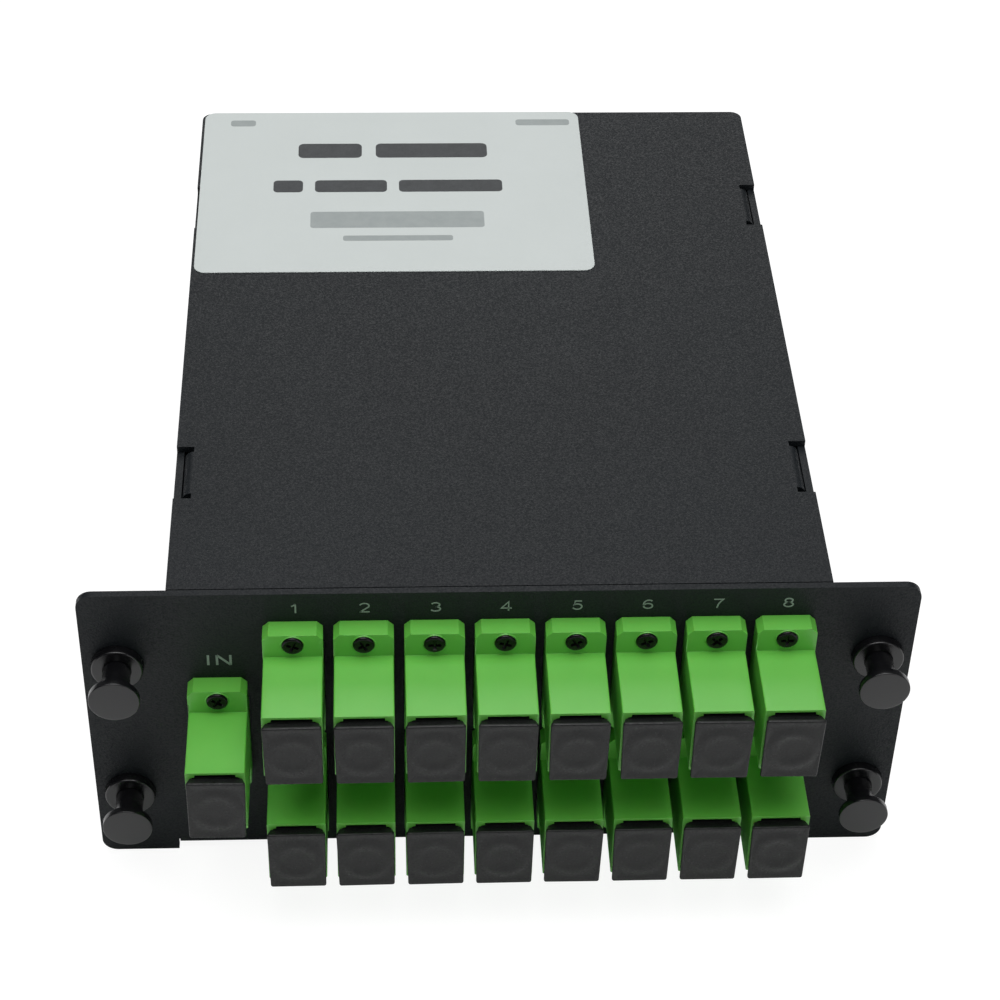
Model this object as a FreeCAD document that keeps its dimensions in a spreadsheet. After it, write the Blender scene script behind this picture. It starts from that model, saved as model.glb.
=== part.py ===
import FreeCAD
import Part
import Sketcher
import math
import os

# Passive optical splitter cassette, one input and sixteen outputs, for a two-slot rack opening.
#
# Frame: millimetres. The origin is the centre of the four-fastener pattern on the rear face of
# the front panel. +X is to the right seen from the front, +Y runs back into the rack, +Z is up.
#
# A folded sheet chassis (panel, floor, side walls, rear wall) carries a row of single adapters,
# each closed by a dust cap, and four push-pull rack fasteners. A flat cover with four bent tabs
# closes the tray. Inside lie the splitter module, its fibre harness and the rear connectors.

SIZES = {
    # front panel and folded tray
    "panel_width": 130.0,
    "panel_height": 58.0,
    "panel_corner": 2.5,
    "sheet": 1.2,
    "bend_outer": 1.5,
    "bend_relief": 0.5,
    "body_width": 102.6,
    "body_depth": 132.0,
    "base_rise": 0.9,
    "fold_overhang": 0.9,
    "ear_slit": 0.25,
    # cover
    "cover_drop": 0.3,
    "cover_gap": 0.5,
    "cover_corner": 2.0,
    "tab_front": 27.8,
    "tab_pitch": 73.4,
    "tab_length": 10.2,
    "tab_relief": 1.2,
    "tab_drop": 9.0,
    "tab_play": 0.15,
    # label
    "label_left": 50.8,
    "label_width": 70.8,
    "label_depth": 50.8,
    "label_corner": 2.0,
    "label_stock": 0.15,
    # ports
    "port_pitch": 10.9,
    "port_first": 32.1,
    "input_side": 44.2,
    "upper_row": 12.35,
    "lower_row": 11.65,
    "input_row": 0.35,
    # adapter
    "flange_width": 9.3,
    "flange_height": 21.8,
    "flange_depth": 3.2,
    "flange_bevel": 0.95,
    "barrel_width": 9.2,
    "barrel_height": 12.8,
    "barrel_reach": 12.9,
    "socket_width": 7.9,
    "socket_height": 10.9,
    "socket_bevel": 0.35,
    "keyway_width": 6.3,
    "keyway_depth": 0.5,
    "cutout_play": 0.15,
    "ear_screw_offset": 8.9,
    # adapter screws
    "screw_head": 3.4,
    "screw_head_depth": 0.5,
    # inner parts of an adapter
    "holder_web": 1.4,
    "holder_play": 0.2,
    "latch_width": 3.0,
    "latch_stock": 0.7,
    "latch_offset": 3.9,
    "latch_reach": 6.0,
    "sleeve_diameter": 3.2,
    "sleeve_length": 11.4,
    "sleeve_play": 0.05,
    # dust cap
    "cap_plate_width": 9.1,
    "cap_plate_height": 12.5,
    "cap_plate_drop": 0.5,
    "cap_plate_depth": 0.6,
    "cap_shoulder": 1.1,
    "cap_play": 0.2,
    "cap_wall": 0.8,
    "cap_plug_depth": 8.0,
    # rear connectors
    "plug_inset": 2.0,
    "plug_skirt_floor": 1.4,
    "plug_grip_width": 8.6,
    "plug_grip_height": 10.2,
    "plug_grip_depth": 9.0,
    "plug_gap": 0.3,
    "boot_front": 5.2,
    "boot_back": 2.6,
    "boot_length": 16.0,
    # rack fasteners
    "fastener_inset_x": 5.5,
    "fastener_inset_z": 14.5,
    "grommet_flange": 8.3,
    "grommet_flange_depth": 1.6,
    "grommet_barrel": 6.0,
    "grommet_length": 6.0,
    "grommet_fit": 0.1,
    "grommet_slot": 0.8,
    "grommet_collar": 1.6,
    "pin_diameter": 4.3,
    "pin_play": 0.1,
    "pin_reach": 5.0,
    "knob_diameter": 8.0,
    "knob_depth": 1.5,
    "knob_stand_off": 8.6,
    # cover screws
    "cover_screw_shank": 2.4,
    "cover_screw_head": 4.4,
    "cover_screw_head_depth": 0.25,
    "cover_screw_length": 4.0,
    "cover_screw_thread": 0.05,
    "cover_screw_drop": 5.2,
    # splitter module and harness
    "module_length": 60.0,
    "module_width": 12.0,
    "module_height": 4.0,
    "module_place": 94.0,
    "module_boot_length": 8.0,
    "module_boot_width": 5.0,
    "module_boot_height": 3.0,
    "pad_stock": 0.8,
    "pad_margin": 3.0,
    "coil_half_width": 46.5,
    "coil_front": 60.0,
    "coil_rear": 126.0,
    "coil_width": 5.0,
    "coil_height": 6.0,
    "coil_corner": 18.0,
    "tube_diameter": 0.9,
    "lead_diameter": 2.0,
    "fan_in": 0.62,
    "saddle_width": 6.0,
    "saddle_stock": 1.2,
    "saddle_play": 0.2,
    "saddle_front": 84.0,
    "saddle_pitch": 20.0,
}
PORTS_PER_ROW = 8
HEAD_FLATS = 12
SHANK_FLATS = 8
TUBE_FLATS = 6


class Size:
    """A length that knows its value and the sheet expression it comes from."""

    def __init__(self, value, text):
        self.value = value
        self.text = text

    def __add__(self, other):
        other = as_size(other)
        return Size(self.value + other.value, f"({self.text} + {other.text})")

    def __radd__(self, other):
        return as_size(other) + self

    def __sub__(self, other):
        other = as_size(other)
        return Size(self.value - other.value, f"({self.text} - {other.text})")

    def __rsub__(self, other):
        return as_size(other) - self

    def __mul__(self, other):
        other = as_size(other)
        return Size(self.value * other.value, f"({self.text} * {other.text})")

    def __rmul__(self, other):
        return as_size(other) * self

    def __truediv__(self, other):
        other = as_size(other)
        return Size(self.value / other.value, f"({self.text} / {other.text})")

    def __neg__(self):
        return 0 - self


def as_size(number):
    """A plain number as a Size; a Size as it is."""
    if isinstance(number, Size):
        return number
    return Size(float(number), f"({float(number)})")


class SizeSheet:
    """The spreadsheet of driving dimensions, read as attributes that give Sizes."""

    def __init__(self, doc, sizes):
        table = doc.addObject("Spreadsheet::Sheet", "Sizes")
        for row, (alias, number) in enumerate(sizes.items(), start=1):
            table.set(f"A{row}", alias)
            table.set(f"B{row}", str(number))
            table.setAlias(f"B{row}", alias)
            setattr(self, alias, Size(number, f"Sizes.{alias}"))


def bind(obj, prop, size):
    """Bind one property of an object to a Size."""
    obj.setExpression(prop, as_size(size).text)


def place(obj, x=0, y=0, z=0):
    """Bind an object's position to three Sizes."""
    bind(obj, "Placement.Base.x", x)
    bind(obj, "Placement.Base.y", y)
    bind(obj, "Placement.Base.z", z)


def new_body(doc, label):
    """An empty PartDesign body."""
    body = doc.addObject("PartDesign::Body", label)
    body.Label = label
    return body


def new_sketch(body, name, plane, offset=0):
    """A sketch on one of the body's own origin planes, moved along the plane's normal."""
    sketch = body.newObject("Sketcher::SketchObject", name)
    for feature in body.Origin.OriginFeatures:
        if feature.Role == plane:
            sketch.AttachmentSupport = [(feature, "")]
    sketch.MapMode = "FlatFace"
    bind(sketch, "AttachmentOffset.Base.z", offset)
    return sketch


def constrain(sketch, plain, driven):
    """Add plain constraints, then the driven ones, each bound to its Size."""
    first = sketch.ConstraintCount
    sketch.addConstraint(plain + [constraint for constraint, _ in driven])
    for index, (_, size) in enumerate(driven, start=first + len(plain)):
        sketch.setExpression(f"Constraints[{index}]", size.text)


def corner_arc(before, corner, after, radius):
    """Tangent points and centre of an arc that rounds one corner, and whether it turns left."""
    to_before = (before - corner).normalize()
    to_after = (after - corner).normalize()
    half_angle = to_before.getAngle(to_after) / 2
    reach = radius / math.tan(half_angle)
    centre = corner + (to_before + to_after).normalize() * (radius / math.sin(half_angle))
    turns_left = to_after.cross(to_before).z > 0
    return corner + to_before * reach, corner + to_after * reach, centre, turns_left


def outline(sketch, corners):
    """Draw a closed outline through (x, y) or (x, y, radius) corners, bound to their Sizes."""
    corners = [tuple(as_size(number) for number in corner) for corner in corners]
    points = [FreeCAD.Vector(corner[0].value, corner[1].value, 0) for corner in corners]
    count = len(corners)
    arrivals, departures, arcs = list(points), list(points), {}
    for index, corner in enumerate(corners):
        if len(corner) == 3:
            arc = corner_arc(points[index - 1], points[index], points[(index + 1) % count],
                             corner[2].value)
            arrivals[index], departures[index] = arc[0], arc[1]
            arcs[index] = arc
    first = sketch.GeometryCount
    for index in range(count):
        sketch.addGeometry(Part.LineSegment(departures[index], arrivals[(index + 1) % count]))
    plain, driven = [], []
    for index, corner in enumerate(corners):
        edge_in = first + (index - 1) % count
        edge_out = first + index
        if index not in arcs:
            plain.append(Sketcher.Constraint("Coincident", edge_in, 2, edge_out, 1))
            anchor = edge_out
        else:
            arrival, departure, centre, turns_left = arcs[index]
            start, end = (arrival, departure) if turns_left else (departure, arrival)
            circle = Part.Circle(centre, FreeCAD.Vector(0, 0, 1), corner[2].value)
            arc = sketch.addGeometry(Part.ArcOfCircle(circle, circle.parameter(start),
                                                      circle.parameter(end)))
            anchor = sketch.addGeometry(Part.Point(points[index]), True)
            ends = (1, 2) if turns_left else (2, 1)
            plain.append(Sketcher.Constraint("Tangent", edge_in, 2, arc, ends[0]))
            plain.append(Sketcher.Constraint("Tangent", edge_out, 1, arc, ends[1]))
            plain.append(Sketcher.Constraint("PointOnObject", anchor, 1, edge_in))
            plain.append(Sketcher.Constraint("PointOnObject", anchor, 1, edge_out))
            driven.append((Sketcher.Constraint("Radius", arc, corner[2].value), corner[2]))
        across = Sketcher.Constraint("DistanceX", -1, 1, anchor, 1, corner[0].value)
        upward = Sketcher.Constraint("DistanceY", -1, 1, anchor, 1, corner[1].value)
        driven.append((across, corner[0]))
        driven.append((upward, corner[1]))
    constrain(sketch, plain, driven)


def rectangle(sketch, left, right, bottom, top, *radius):
    """Draw a rectangle, with rounded corners if a radius is given."""
    outline(sketch, [(left, bottom, *radius), (right, bottom, *radius),
                     (right, top, *radius), (left, top, *radius)])


def circle(sketch, x, y, radius):
    """Draw a circle bound to its centre and radius."""
    x, y, radius = as_size(x), as_size(y), as_size(radius)
    centre = FreeCAD.Vector(x.value, y.value, 0)
    index = sketch.addGeometry(Part.Circle(centre, FreeCAD.Vector(0, 0, 1), radius.value))
    constrain(sketch, [], [
        (Sketcher.Constraint("Radius", index, radius.value), radius),
        (Sketcher.Constraint("DistanceX", -1, 1, index, 3, x.value), x),
        (Sketcher.Constraint("DistanceY", -1, 1, index, 3, y.value), y),
    ])


def flats(sketch, x, y, radius, count):
    """Draw a small round as a regular outline with a number of flats."""
    count = round(count)
    corners = []
    for step in range(count):
        turn = 2 * math.pi * (step + 0.5) / count
        corners.append((x + radius * math.cos(turn), y + radius * math.sin(turn)))
    outline(sketch, corners)


def extrude(body, kind, name, sketch, length, reverse=False, symmetric=False):
    """Pad or pocket a sketch by a bound length; a Size of None cuts through everything."""
    feature = body.newObject(f"PartDesign::{kind}", name)
    feature.Profile = sketch
    if length is None:
        feature.Type = "ThroughAll"
    else:
        bind(feature, "Length", length)
    feature.Reversed = reverse
    feature.SideType = "Symmetric" if symmetric else "One side"
    return feature


def pad(body, name, sketch, length, **options):
    """Add an extruded sketch to a body."""
    return extrude(body, "Pad", name, sketch, length, **options)


def pocket(body, name, sketch, length=None, **options):
    """Cut an extruded sketch out of a body."""
    return extrude(body, "Pocket", name, sketch, length, **options)


def revolve(body, name, sketch):
    """Turn a sketch a full circle about its own vertical axis."""
    feature = body.newObject("PartDesign::Revolution", name)
    feature.Profile = sketch
    feature.ReferenceAxis = (sketch, ["V_Axis"])
    feature.Angle = 360.0
    return feature


def twin(doc, source, label, x=0, y=0, z=0):
    """A further piece of the same form as a body, at its own place."""
    body = new_body(doc, label)
    copy = body.newObject("PartDesign::FeatureBase", f"{label}_form")
    copy.BaseFeature = source
    body.Tip = copy
    place(body, x, y, z)
    return body


def group(doc, label, source, places):
    """Identical pieces in one node: the first is the source, the others are its twins."""
    place(source, *places[0])
    members = [source]
    for index, position in enumerate(places[1:], start=2):
        members.append(twin(doc, source, f"{label}_{index:02d}", *position))
    return compound_of(doc, label, members)


def compound_of(doc, label, members):
    """One node that holds several separate solids."""
    compound = doc.addObject("Part::Compound", label)
    compound.Label = label
    compound.Links = members
    return compound


def port_places(s):
    """Port axes in numbered order, the input first, as (x, z)."""
    places = [(-s.input_side, s.input_row)]
    for row in (s.upper_row, -s.lower_row):
        for index in range(PORTS_PER_ROW):
            places.append((-s.port_first + index * s.port_pitch, row))
    return places


def port_names(stem):
    """Names of the input's piece and of the sixteen outputs' pieces."""
    return [f"{stem}_in"] + [f"{stem}_{number:02d}" for number in range(1, 2 * PORTS_PER_ROW + 1)]


def corner_places(half_x, half_z):
    """The four corners of a rectangle in the panel's plane."""
    return [(sign_x * half_x, sign_z * half_z) for sign_z in (1, -1) for sign_x in (-1, 1)]


def fastener_places(s):
    """Middles of the four fasteners, set in from the panel's edges."""
    return corner_places(s.panel_width / 2 - s.fastener_inset_x,
                         s.panel_height / 2 - s.fastener_inset_z)


def folded_chassis(doc, s):
    """Panel, floor, side walls and rear wall, folded from one sheet."""
    body = new_body(doc, "chassis")
    half = s.body_width / 2
    fold_half = half + s.fold_overhang
    ear = fold_half + s.ear_slit
    right, top = s.panel_width / 2, s.panel_height / 2
    floor = s.base_rise - top
    wall_top = top - s.cover_drop - s.sheet
    inner_bend = s.bend_outer - s.sheet

    sketch = new_sketch(body, "panel_outline", "XZ_Plane")
    outline(sketch, [
        (-right, -top, s.panel_corner), (-ear, -top), (-ear, floor + s.bend_outer),
        (ear, floor + s.bend_outer), (ear, -top), (right, -top, s.panel_corner),
        (right, top, s.panel_corner), (-right, top, s.panel_corner),
    ])
    pad(body, "panel", sketch, s.sheet)

    walls_start = s.bend_outer - s.sheet + s.bend_relief
    fold_top = floor + s.bend_outer + s.bend_relief
    sketch = new_sketch(body, "front_fold_profile", "YZ_Plane")
    outline(sketch, [
        (-s.sheet, fold_top), (-s.sheet, floor, s.bend_outer), (walls_start, floor),
        (walls_start, floor + s.sheet), (0, floor + s.sheet, inner_bend), (0, fold_top),
    ])
    pad(body, "front_fold", sketch, 2 * fold_half, symmetric=True)

    walls_end = s.body_depth - s.bend_outer - s.bend_relief
    sketch = new_sketch(body, "tray_profile", "XZ_Plane", -walls_start)
    outline(sketch, [
        (-half, wall_top), (-half, floor, s.bend_outer), (half, floor, s.bend_outer),
        (half, wall_top), (half - s.sheet, wall_top),
        (half - s.sheet, floor + s.sheet, inner_bend),
        (s.sheet - half, floor + s.sheet, inner_bend), (s.sheet - half, wall_top),
    ])
    pad(body, "tray", sketch, walls_end - walls_start, reverse=True)

    sketch = new_sketch(body, "rear_fold_profile", "YZ_Plane")
    outline(sketch, [
        (walls_end, floor), (s.body_depth, floor, s.bend_outer), (s.body_depth, wall_top),
        (s.body_depth - s.sheet, wall_top),
        (s.body_depth - s.sheet, floor + s.sheet, inner_bend), (walls_end, floor + s.sheet),
    ])
    pad(body, "rear_wall", sketch, s.body_width, symmetric=True)

    sketch = new_sketch(body, "adapter_cutouts", "XZ_Plane")
    half_cut_x = s.barrel_width / 2 + s.cutout_play
    half_cut_z = s.barrel_height / 2 + s.cutout_play
    for x, z in port_places(s):
        rectangle(sketch, x - half_cut_x, x + half_cut_x, z - half_cut_z, z + half_cut_z)
    pocket(body, "adapter_openings", sketch, s.sheet, reverse=True)

    sketch = new_sketch(body, "fastener_holes", "XZ_Plane")
    for x, z in fastener_places(s):
        circle(sketch, x, z, s.grommet_barrel / 2 + s.grommet_fit)
    pocket(body, "fastener_openings", sketch, s.sheet, reverse=True)

    sketch = new_sketch(body, "side_hole_circles", "YZ_Plane")
    for y in (s.tab_front, s.tab_front + s.tab_pitch):
        flats(sketch, y, top - s.cover_screw_drop, s.cover_screw_shank / 2 + s.tab_play,
              SHANK_FLATS)
    pocket(body, "side_holes", sketch, s.body_width, symmetric=True)
    return body


def flat_cover(doc, s):
    """Flat cover plate with four tabs bent down inside the side walls."""
    body = new_body(doc, "cover")
    half = s.body_width / 2
    top = s.panel_height / 2 - s.cover_drop
    inner_bend = s.bend_outer - s.sheet
    tab_face = half - s.sheet - s.tab_play
    notch = tab_face - s.bend_outer
    reach = s.tab_length / 2 + s.tab_relief

    sketch = new_sketch(body, "plate_outline", "XY_Plane", top - s.sheet)
    middles = (s.tab_front, s.tab_front + s.tab_pitch)
    right_side, left_side = [], []
    for middle in middles:
        right_side += [(half, middle - reach), (notch, middle - reach),
                       (notch, middle + reach), (half, middle + reach)]
    for middle in reversed(middles):
        left_side += [(-half, middle + reach), (-notch, middle + reach),
                      (-notch, middle - reach), (-half, middle - reach)]
    outline(sketch, [
        (-half, s.cover_gap), (half, s.cover_gap), *right_side,
        (half, s.body_depth, s.cover_corner), (-half, s.body_depth, s.cover_corner), *left_side,
    ])
    pad(body, "plate", sketch, s.sheet)

    for number, middle in enumerate(middles, start=1):
        sketch = new_sketch(body, f"tab_profile_{number}", "XZ_Plane",
                            -(middle + s.tab_length / 2))
        for sign in (-1, 1):
            root = notch - s.bend_relief
            corners = [
                (sign * root, top), (sign * tab_face, top, s.bend_outer),
                (sign * tab_face, top - s.tab_drop), (sign * (tab_face - s.sheet), top - s.tab_drop),
                (sign * (tab_face - s.sheet), top - s.sheet, inner_bend),
                (sign * root, top - s.sheet),
            ]
            outline(sketch, corners if sign < 0 else corners[::-1])
        pad(body, f"tabs_{number}", sketch, s.tab_length)

    sketch = new_sketch(body, "tab_hole_circles", "YZ_Plane")
    for middle in middles:
        flats(sketch, middle, s.panel_height / 2 - s.cover_screw_drop,
              s.cover_screw_shank / 2 + s.cover_screw_thread, SHANK_FLATS)
    pocket(body, "tab_holes", sketch, s.body_width, symmetric=True)
    return body


def cover_label(doc, s):
    """Plain self-adhesive label on the cover, flush with its left and rear edges."""
    body = new_body(doc, "product_label")
    sketch = new_sketch(body, "label_outline", "XY_Plane", s.panel_height / 2 - s.cover_drop)
    rectangle(sketch, -s.label_left, s.label_width - s.label_left,
              s.body_depth - s.label_depth, s.body_depth, s.label_corner)
    pad(body, "label", sketch, s.label_stock)
    return body


def adapter_middle(s):
    """Distance from the flange's seat forward to the adapter's middle plane."""
    return s.flange_depth / 2


def adapter_housing(doc, s, label):
    """Moulded adapter: a square barrel through a screwed flange, with a keyed socket."""
    body = new_body(doc, label)
    half_w, half_h = s.flange_width / 2, s.flange_height / 2
    sketch = new_sketch(body, "flange_outline", "XZ_Plane")
    bevel = s.flange_bevel
    outline(sketch, [
        (-half_w, bevel - half_h), (bevel - half_w, -half_h), (half_w - bevel, -half_h),
        (half_w, bevel - half_h), (half_w, half_h - bevel), (half_w - bevel, half_h),
        (bevel - half_w, half_h), (-half_w, half_h - bevel),
    ])
    pad(body, "flange", sketch, s.flange_depth)

    length = 2 * s.barrel_reach + s.flange_depth
    sketch = new_sketch(body, "barrel_outline", "XZ_Plane", -s.barrel_reach)
    rectangle(sketch, -s.barrel_width / 2, s.barrel_width / 2,
              -s.barrel_height / 2, s.barrel_height / 2)
    pad(body, "barrel", sketch, length)

    sketch = new_sketch(body, "socket_outline", "XZ_Plane", -s.barrel_reach)
    side, top, key = s.socket_width / 2, s.socket_height / 2, s.keyway_width / 2
    cut = s.socket_bevel
    outline(sketch, [
        (-side, cut - top), (cut - side, -top), (side - cut, -top), (side, cut - top),
        (side, top - cut), (side - cut, top), (key, top), (key, top + s.keyway_depth),
        (-key, top + s.keyway_depth), (-key, top), (cut - side, top), (-side, top - cut),
    ])
    pocket(body, "socket", sketch, length, reverse=True)
    return body


def sleeve_holder(doc, s):
    """Inner web of an adapter with its sleeve hole and the four latch arms on each side."""
    body = new_body(doc, "sleeve_holder_in")
    side = s.socket_width / 2 - s.holder_play
    height = s.socket_height / 2 - s.holder_play
    sketch = new_sketch(body, "web_outline", "XZ_Plane", adapter_middle(s) - s.holder_web / 2)
    rectangle(sketch, -side, side, -height, height)
    hole = s.sleeve_diameter / 2 + s.sleeve_play
    rectangle(sketch, -hole, hole, -hole, hole)
    pad(body, "web", sketch, s.holder_web)
    length = s.holder_web + 2 * s.latch_reach
    sketch = new_sketch(body, "latch_outlines", "XZ_Plane", adapter_middle(s) - length / 2)
    for sign in (-1, 1):
        middle = sign * s.latch_offset
        rectangle(sketch, -s.latch_width / 2, s.latch_width / 2,
                  middle - s.latch_stock / 2, middle + s.latch_stock / 2)
    pad(body, "latches", sketch, length)
    return body


def alignment_sleeve(doc, s):
    """Ceramic sleeve in the middle of an adapter, with the inner connector's ferrule in it."""
    body = new_body(doc, "alignment_sleeve_in")
    sketch = new_sketch(body, "sleeve_circle", "XZ_Plane", adapter_middle(s) - s.sleeve_length / 2)
    flats(sketch, 0, 0, s.sleeve_diameter / 2, SHANK_FLATS)
    pad(body, "sleeve", sketch, s.sleeve_length)
    return body


def adapter_screw(doc, s):
    """Flat-topped head of a flange screw, seated on the flange."""
    body = new_body(doc, "adapter_screw_01")
    sketch = new_sketch(body, "head_outline", "XZ_Plane")
    flats(sketch, 0, 0, s.screw_head / 2, HEAD_FLATS)
    pad(body, "head", sketch, s.screw_head_depth)
    return body


def dust_cap(doc, s, label):
    """Hollow push-in cap with a flared plate that the fingers pull."""
    body = new_body(doc, label)
    half_w = s.cap_plate_width / 2
    half_h = s.cap_plate_height / 2
    plug_w = s.socket_width / 2 - s.cap_play
    plug_h = s.socket_height / 2 - s.cap_play

    sketch = new_sketch(body, "plug_outline", "XZ_Plane", -s.cap_plug_depth)
    rectangle(sketch, -plug_w, plug_w, -plug_h, plug_h)
    pad(body, "plug", sketch, s.cap_plug_depth)

    drop = s.cap_plate_drop
    shoulder = body.newObject("PartDesign::AdditiveWedge", "shoulder")
    for prop, size in (("Xmin", -half_w), ("Xmax", half_w), ("Zmin", -half_h - drop),
                       ("Zmax", half_h - drop), ("X2min", -plug_w), ("X2max", plug_w),
                       ("Z2min", -plug_h), ("Z2max", plug_h), ("Ymin", -s.cap_shoulder),
                       ("Ymax", 0)):
        bind(shoulder, prop, size)
    sketch = new_sketch(body, "plate_outline", "XZ_Plane", s.cap_shoulder)
    rectangle(sketch, -half_w, half_w, -half_h - drop, half_h - drop)
    pad(body, "plate", sketch, s.cap_plate_depth)

    sketch = new_sketch(body, "hollow_outline", "XZ_Plane", -s.cap_plug_depth)
    rectangle(sketch, s.cap_wall - plug_w, plug_w - s.cap_wall,
              s.cap_wall - plug_h, plug_h - s.cap_wall)
    pocket(body, "hollow", sketch, s.cap_plug_depth, reverse=True)
    return body


def rear_plug(doc, s):
    """Connector housing in the rear socket: a hollow skirt and the grip behind it."""
    body = new_body(doc, "rear_plug_in")
    side = s.socket_width / 2 - s.cap_play
    height = s.socket_height / 2 - s.cap_play
    grip_start = s.barrel_reach + s.plug_gap
    sketch = new_sketch(body, "grip_outline", "XZ_Plane", -grip_start)
    rectangle(sketch, -s.plug_grip_width / 2, s.plug_grip_width / 2,
              -s.plug_grip_height / 2, s.plug_grip_height / 2)
    pad(body, "grip", sketch, s.plug_grip_depth, reverse=True)
    sketch = new_sketch(body, "skirt_outline", "XZ_Plane", -s.plug_inset)
    rectangle(sketch, -side, side, -height, height)
    pad(body, "skirt", sketch, grip_start - s.plug_inset, reverse=True)
    sketch = new_sketch(body, "skirt_hollow_outline", "XZ_Plane", -s.plug_inset)
    rectangle(sketch, s.cap_wall - side, side - s.cap_wall,
              s.cap_wall - height, height - s.cap_wall)
    pocket(body, "skirt_hollow", sketch, grip_start - s.plug_inset - s.plug_skirt_floor)
    return body


def boot_end(s):
    """Distance from an adapter's seat back to the end of its connector's boot."""
    return s.barrel_reach + s.plug_gap + s.plug_grip_depth + s.boot_length


def plug_boots(doc, s):
    """Tapered strain reliefs behind the connectors, one for each port."""
    start = boot_end(s) - s.boot_length - s.sheet
    front, back = s.boot_front / 2, s.boot_back / 2
    boots = []
    for (x, z), name in zip(port_places(s), port_names("plug_boot")):
        boot = doc.addObject("Part::Wedge", name)
        for prop, size in (("Xmin", -front), ("Xmax", front), ("Zmin", -front), ("Zmax", front),
                           ("X2min", -back), ("X2max", back), ("Z2min", -back), ("Z2max", back),
                           ("Ymin", 0), ("Ymax", s.boot_length)):
            bind(boot, prop, size)
        place(boot, x, start, z)
        boots.append(boot)
    return compound_of(doc, "plug_boots", boots)


def grommet(doc, s):
    """Panel grommet: a rounded flange and a split barrel that the pin runs through."""
    body = new_body(doc, "grommet_01")
    bore = s.pin_diameter / 2 + s.pin_play
    flange, barrel = s.grommet_flange / 2, s.grommet_barrel / 2
    front = -s.sheet - s.grommet_flange_depth
    end = s.grommet_length - s.sheet
    sketch = new_sketch(body, "grommet_profile", "XY_Plane")
    outline(sketch, [
        (bore, front), (flange, front), (flange, -s.sheet), (barrel, -s.sheet),
        (barrel, end), (bore, end),
    ])
    revolve(body, "grommet_form", sketch)
    for number, plane in enumerate(("YZ_Plane", "XY_Plane"), start=1):
        sketch = new_sketch(body, f"slot_outline_{number}", plane)
        low, high = -s.grommet_slot / 2, s.grommet_slot / 2
        if plane == "YZ_Plane":
            rectangle(sketch, s.grommet_collar, end + s.sheet, low, high)
        else:
            rectangle(sketch, low, high, s.grommet_collar, end + s.sheet)
        pocket(body, f"slot_{number}", sketch, s.grommet_flange, symmetric=True)
    return body


def plunger(doc, s, label):
    """Push-pull pin with its knob, drawn out as the fastener is released."""
    body = new_body(doc, label)
    pin, knob = s.pin_diameter / 2, s.knob_diameter / 2
    face = -s.sheet - s.knob_stand_off
    back = face + s.knob_depth
    sketch = new_sketch(body, "plunger_profile", "XY_Plane")
    outline(sketch, [
        (0, face), (knob, face), (knob, back), (pin, back), (pin, s.pin_reach), (0, s.pin_reach),
    ])
    revolve(body, "plunger_form", sketch)
    return body


def cover_screw(doc, s, label, side, y):
    """Screw through a side wall into a tab of the cover."""
    body = new_body(doc, label)
    radius, head = s.cover_screw_shank / 2, s.cover_screw_head / 2
    sketch = new_sketch(body, "head_outline", "XZ_Plane")
    flats(sketch, 0, 0, head, HEAD_FLATS)
    pad(body, "head", sketch, s.cover_screw_head_depth)
    sketch = new_sketch(body, "shank_outline", "XZ_Plane")
    flats(sketch, 0, 0, radius, SHANK_FLATS)
    pad(body, "shank", sketch, s.cover_screw_length, reverse=True)
    body.Placement.Rotation = FreeCAD.Rotation(FreeCAD.Vector(0, 0, 1), 90 * side)
    place(body, side * s.body_width / 2, y, s.panel_height / 2 - s.cover_screw_drop)
    return body


def floor_level(s):
    """Height of the floor's upper face."""
    return s.base_rise - s.panel_height / 2 + s.sheet


def splitter_module(doc, s):
    """Flat steel case of the splitter chip, on its foam pad."""
    base = floor_level(s) + s.pad_stock
    body = new_body(doc, "splitter_module")
    sketch = new_sketch(body, "case_outline", "XY_Plane", base)
    rectangle(sketch, -s.module_length / 2, s.module_length / 2,
              s.module_place - s.module_width / 2, s.module_place + s.module_width / 2)
    pad(body, "case", sketch, s.module_height)
    return body


def module_pad(doc, s):
    """Double-sided foam pad under the module."""
    body = new_body(doc, "module_pad")
    sketch = new_sketch(body, "pad_outline", "XY_Plane", floor_level(s))
    half_x = s.module_length / 2 - s.pad_margin
    half_y = s.module_width / 2 - s.pad_margin / 2
    rectangle(sketch, -half_x, half_x, s.module_place - half_y, s.module_place + half_y)
    pad(body, "foam", sketch, s.pad_stock)
    return body


def module_boots(doc, s):
    """Rubber boots at both ends of the module."""
    base = floor_level(s) + s.pad_stock + (s.module_height - s.module_boot_height) / 2
    boots = []
    for sign, name in ((-1, "input"), (1, "output")):
        boot = doc.addObject("Part::Box", f"module_boot_{name}")
        bind(boot, "Length", s.module_boot_length)
        bind(boot, "Width", s.module_boot_width)
        bind(boot, "Height", s.module_boot_height)
        left = sign * (s.module_length + s.module_boot_length) / 2 - s.module_boot_length / 2
        place(boot, left, s.module_place - s.module_boot_width / 2, base)
        boots.append(boot)
    return compound_of(doc, "module_boots", boots)


def fibre_coil(doc, s):
    """Stored loop of loose tubes, laid as a flat rounded bundle round the floor."""
    body = new_body(doc, "fibre_coil")
    sketch = new_sketch(body, "coil_outline", "XY_Plane", floor_level(s))
    outer, inner = s.coil_half_width, s.coil_half_width - s.coil_width
    rectangle(sketch, -outer, outer, s.coil_front, s.coil_rear, s.coil_corner)
    rectangle(sketch, -inner, inner, s.coil_front + s.coil_width, s.coil_rear - s.coil_width,
              s.coil_corner - s.coil_width)
    pad(body, "coil", sketch, s.coil_height)
    return body


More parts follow.
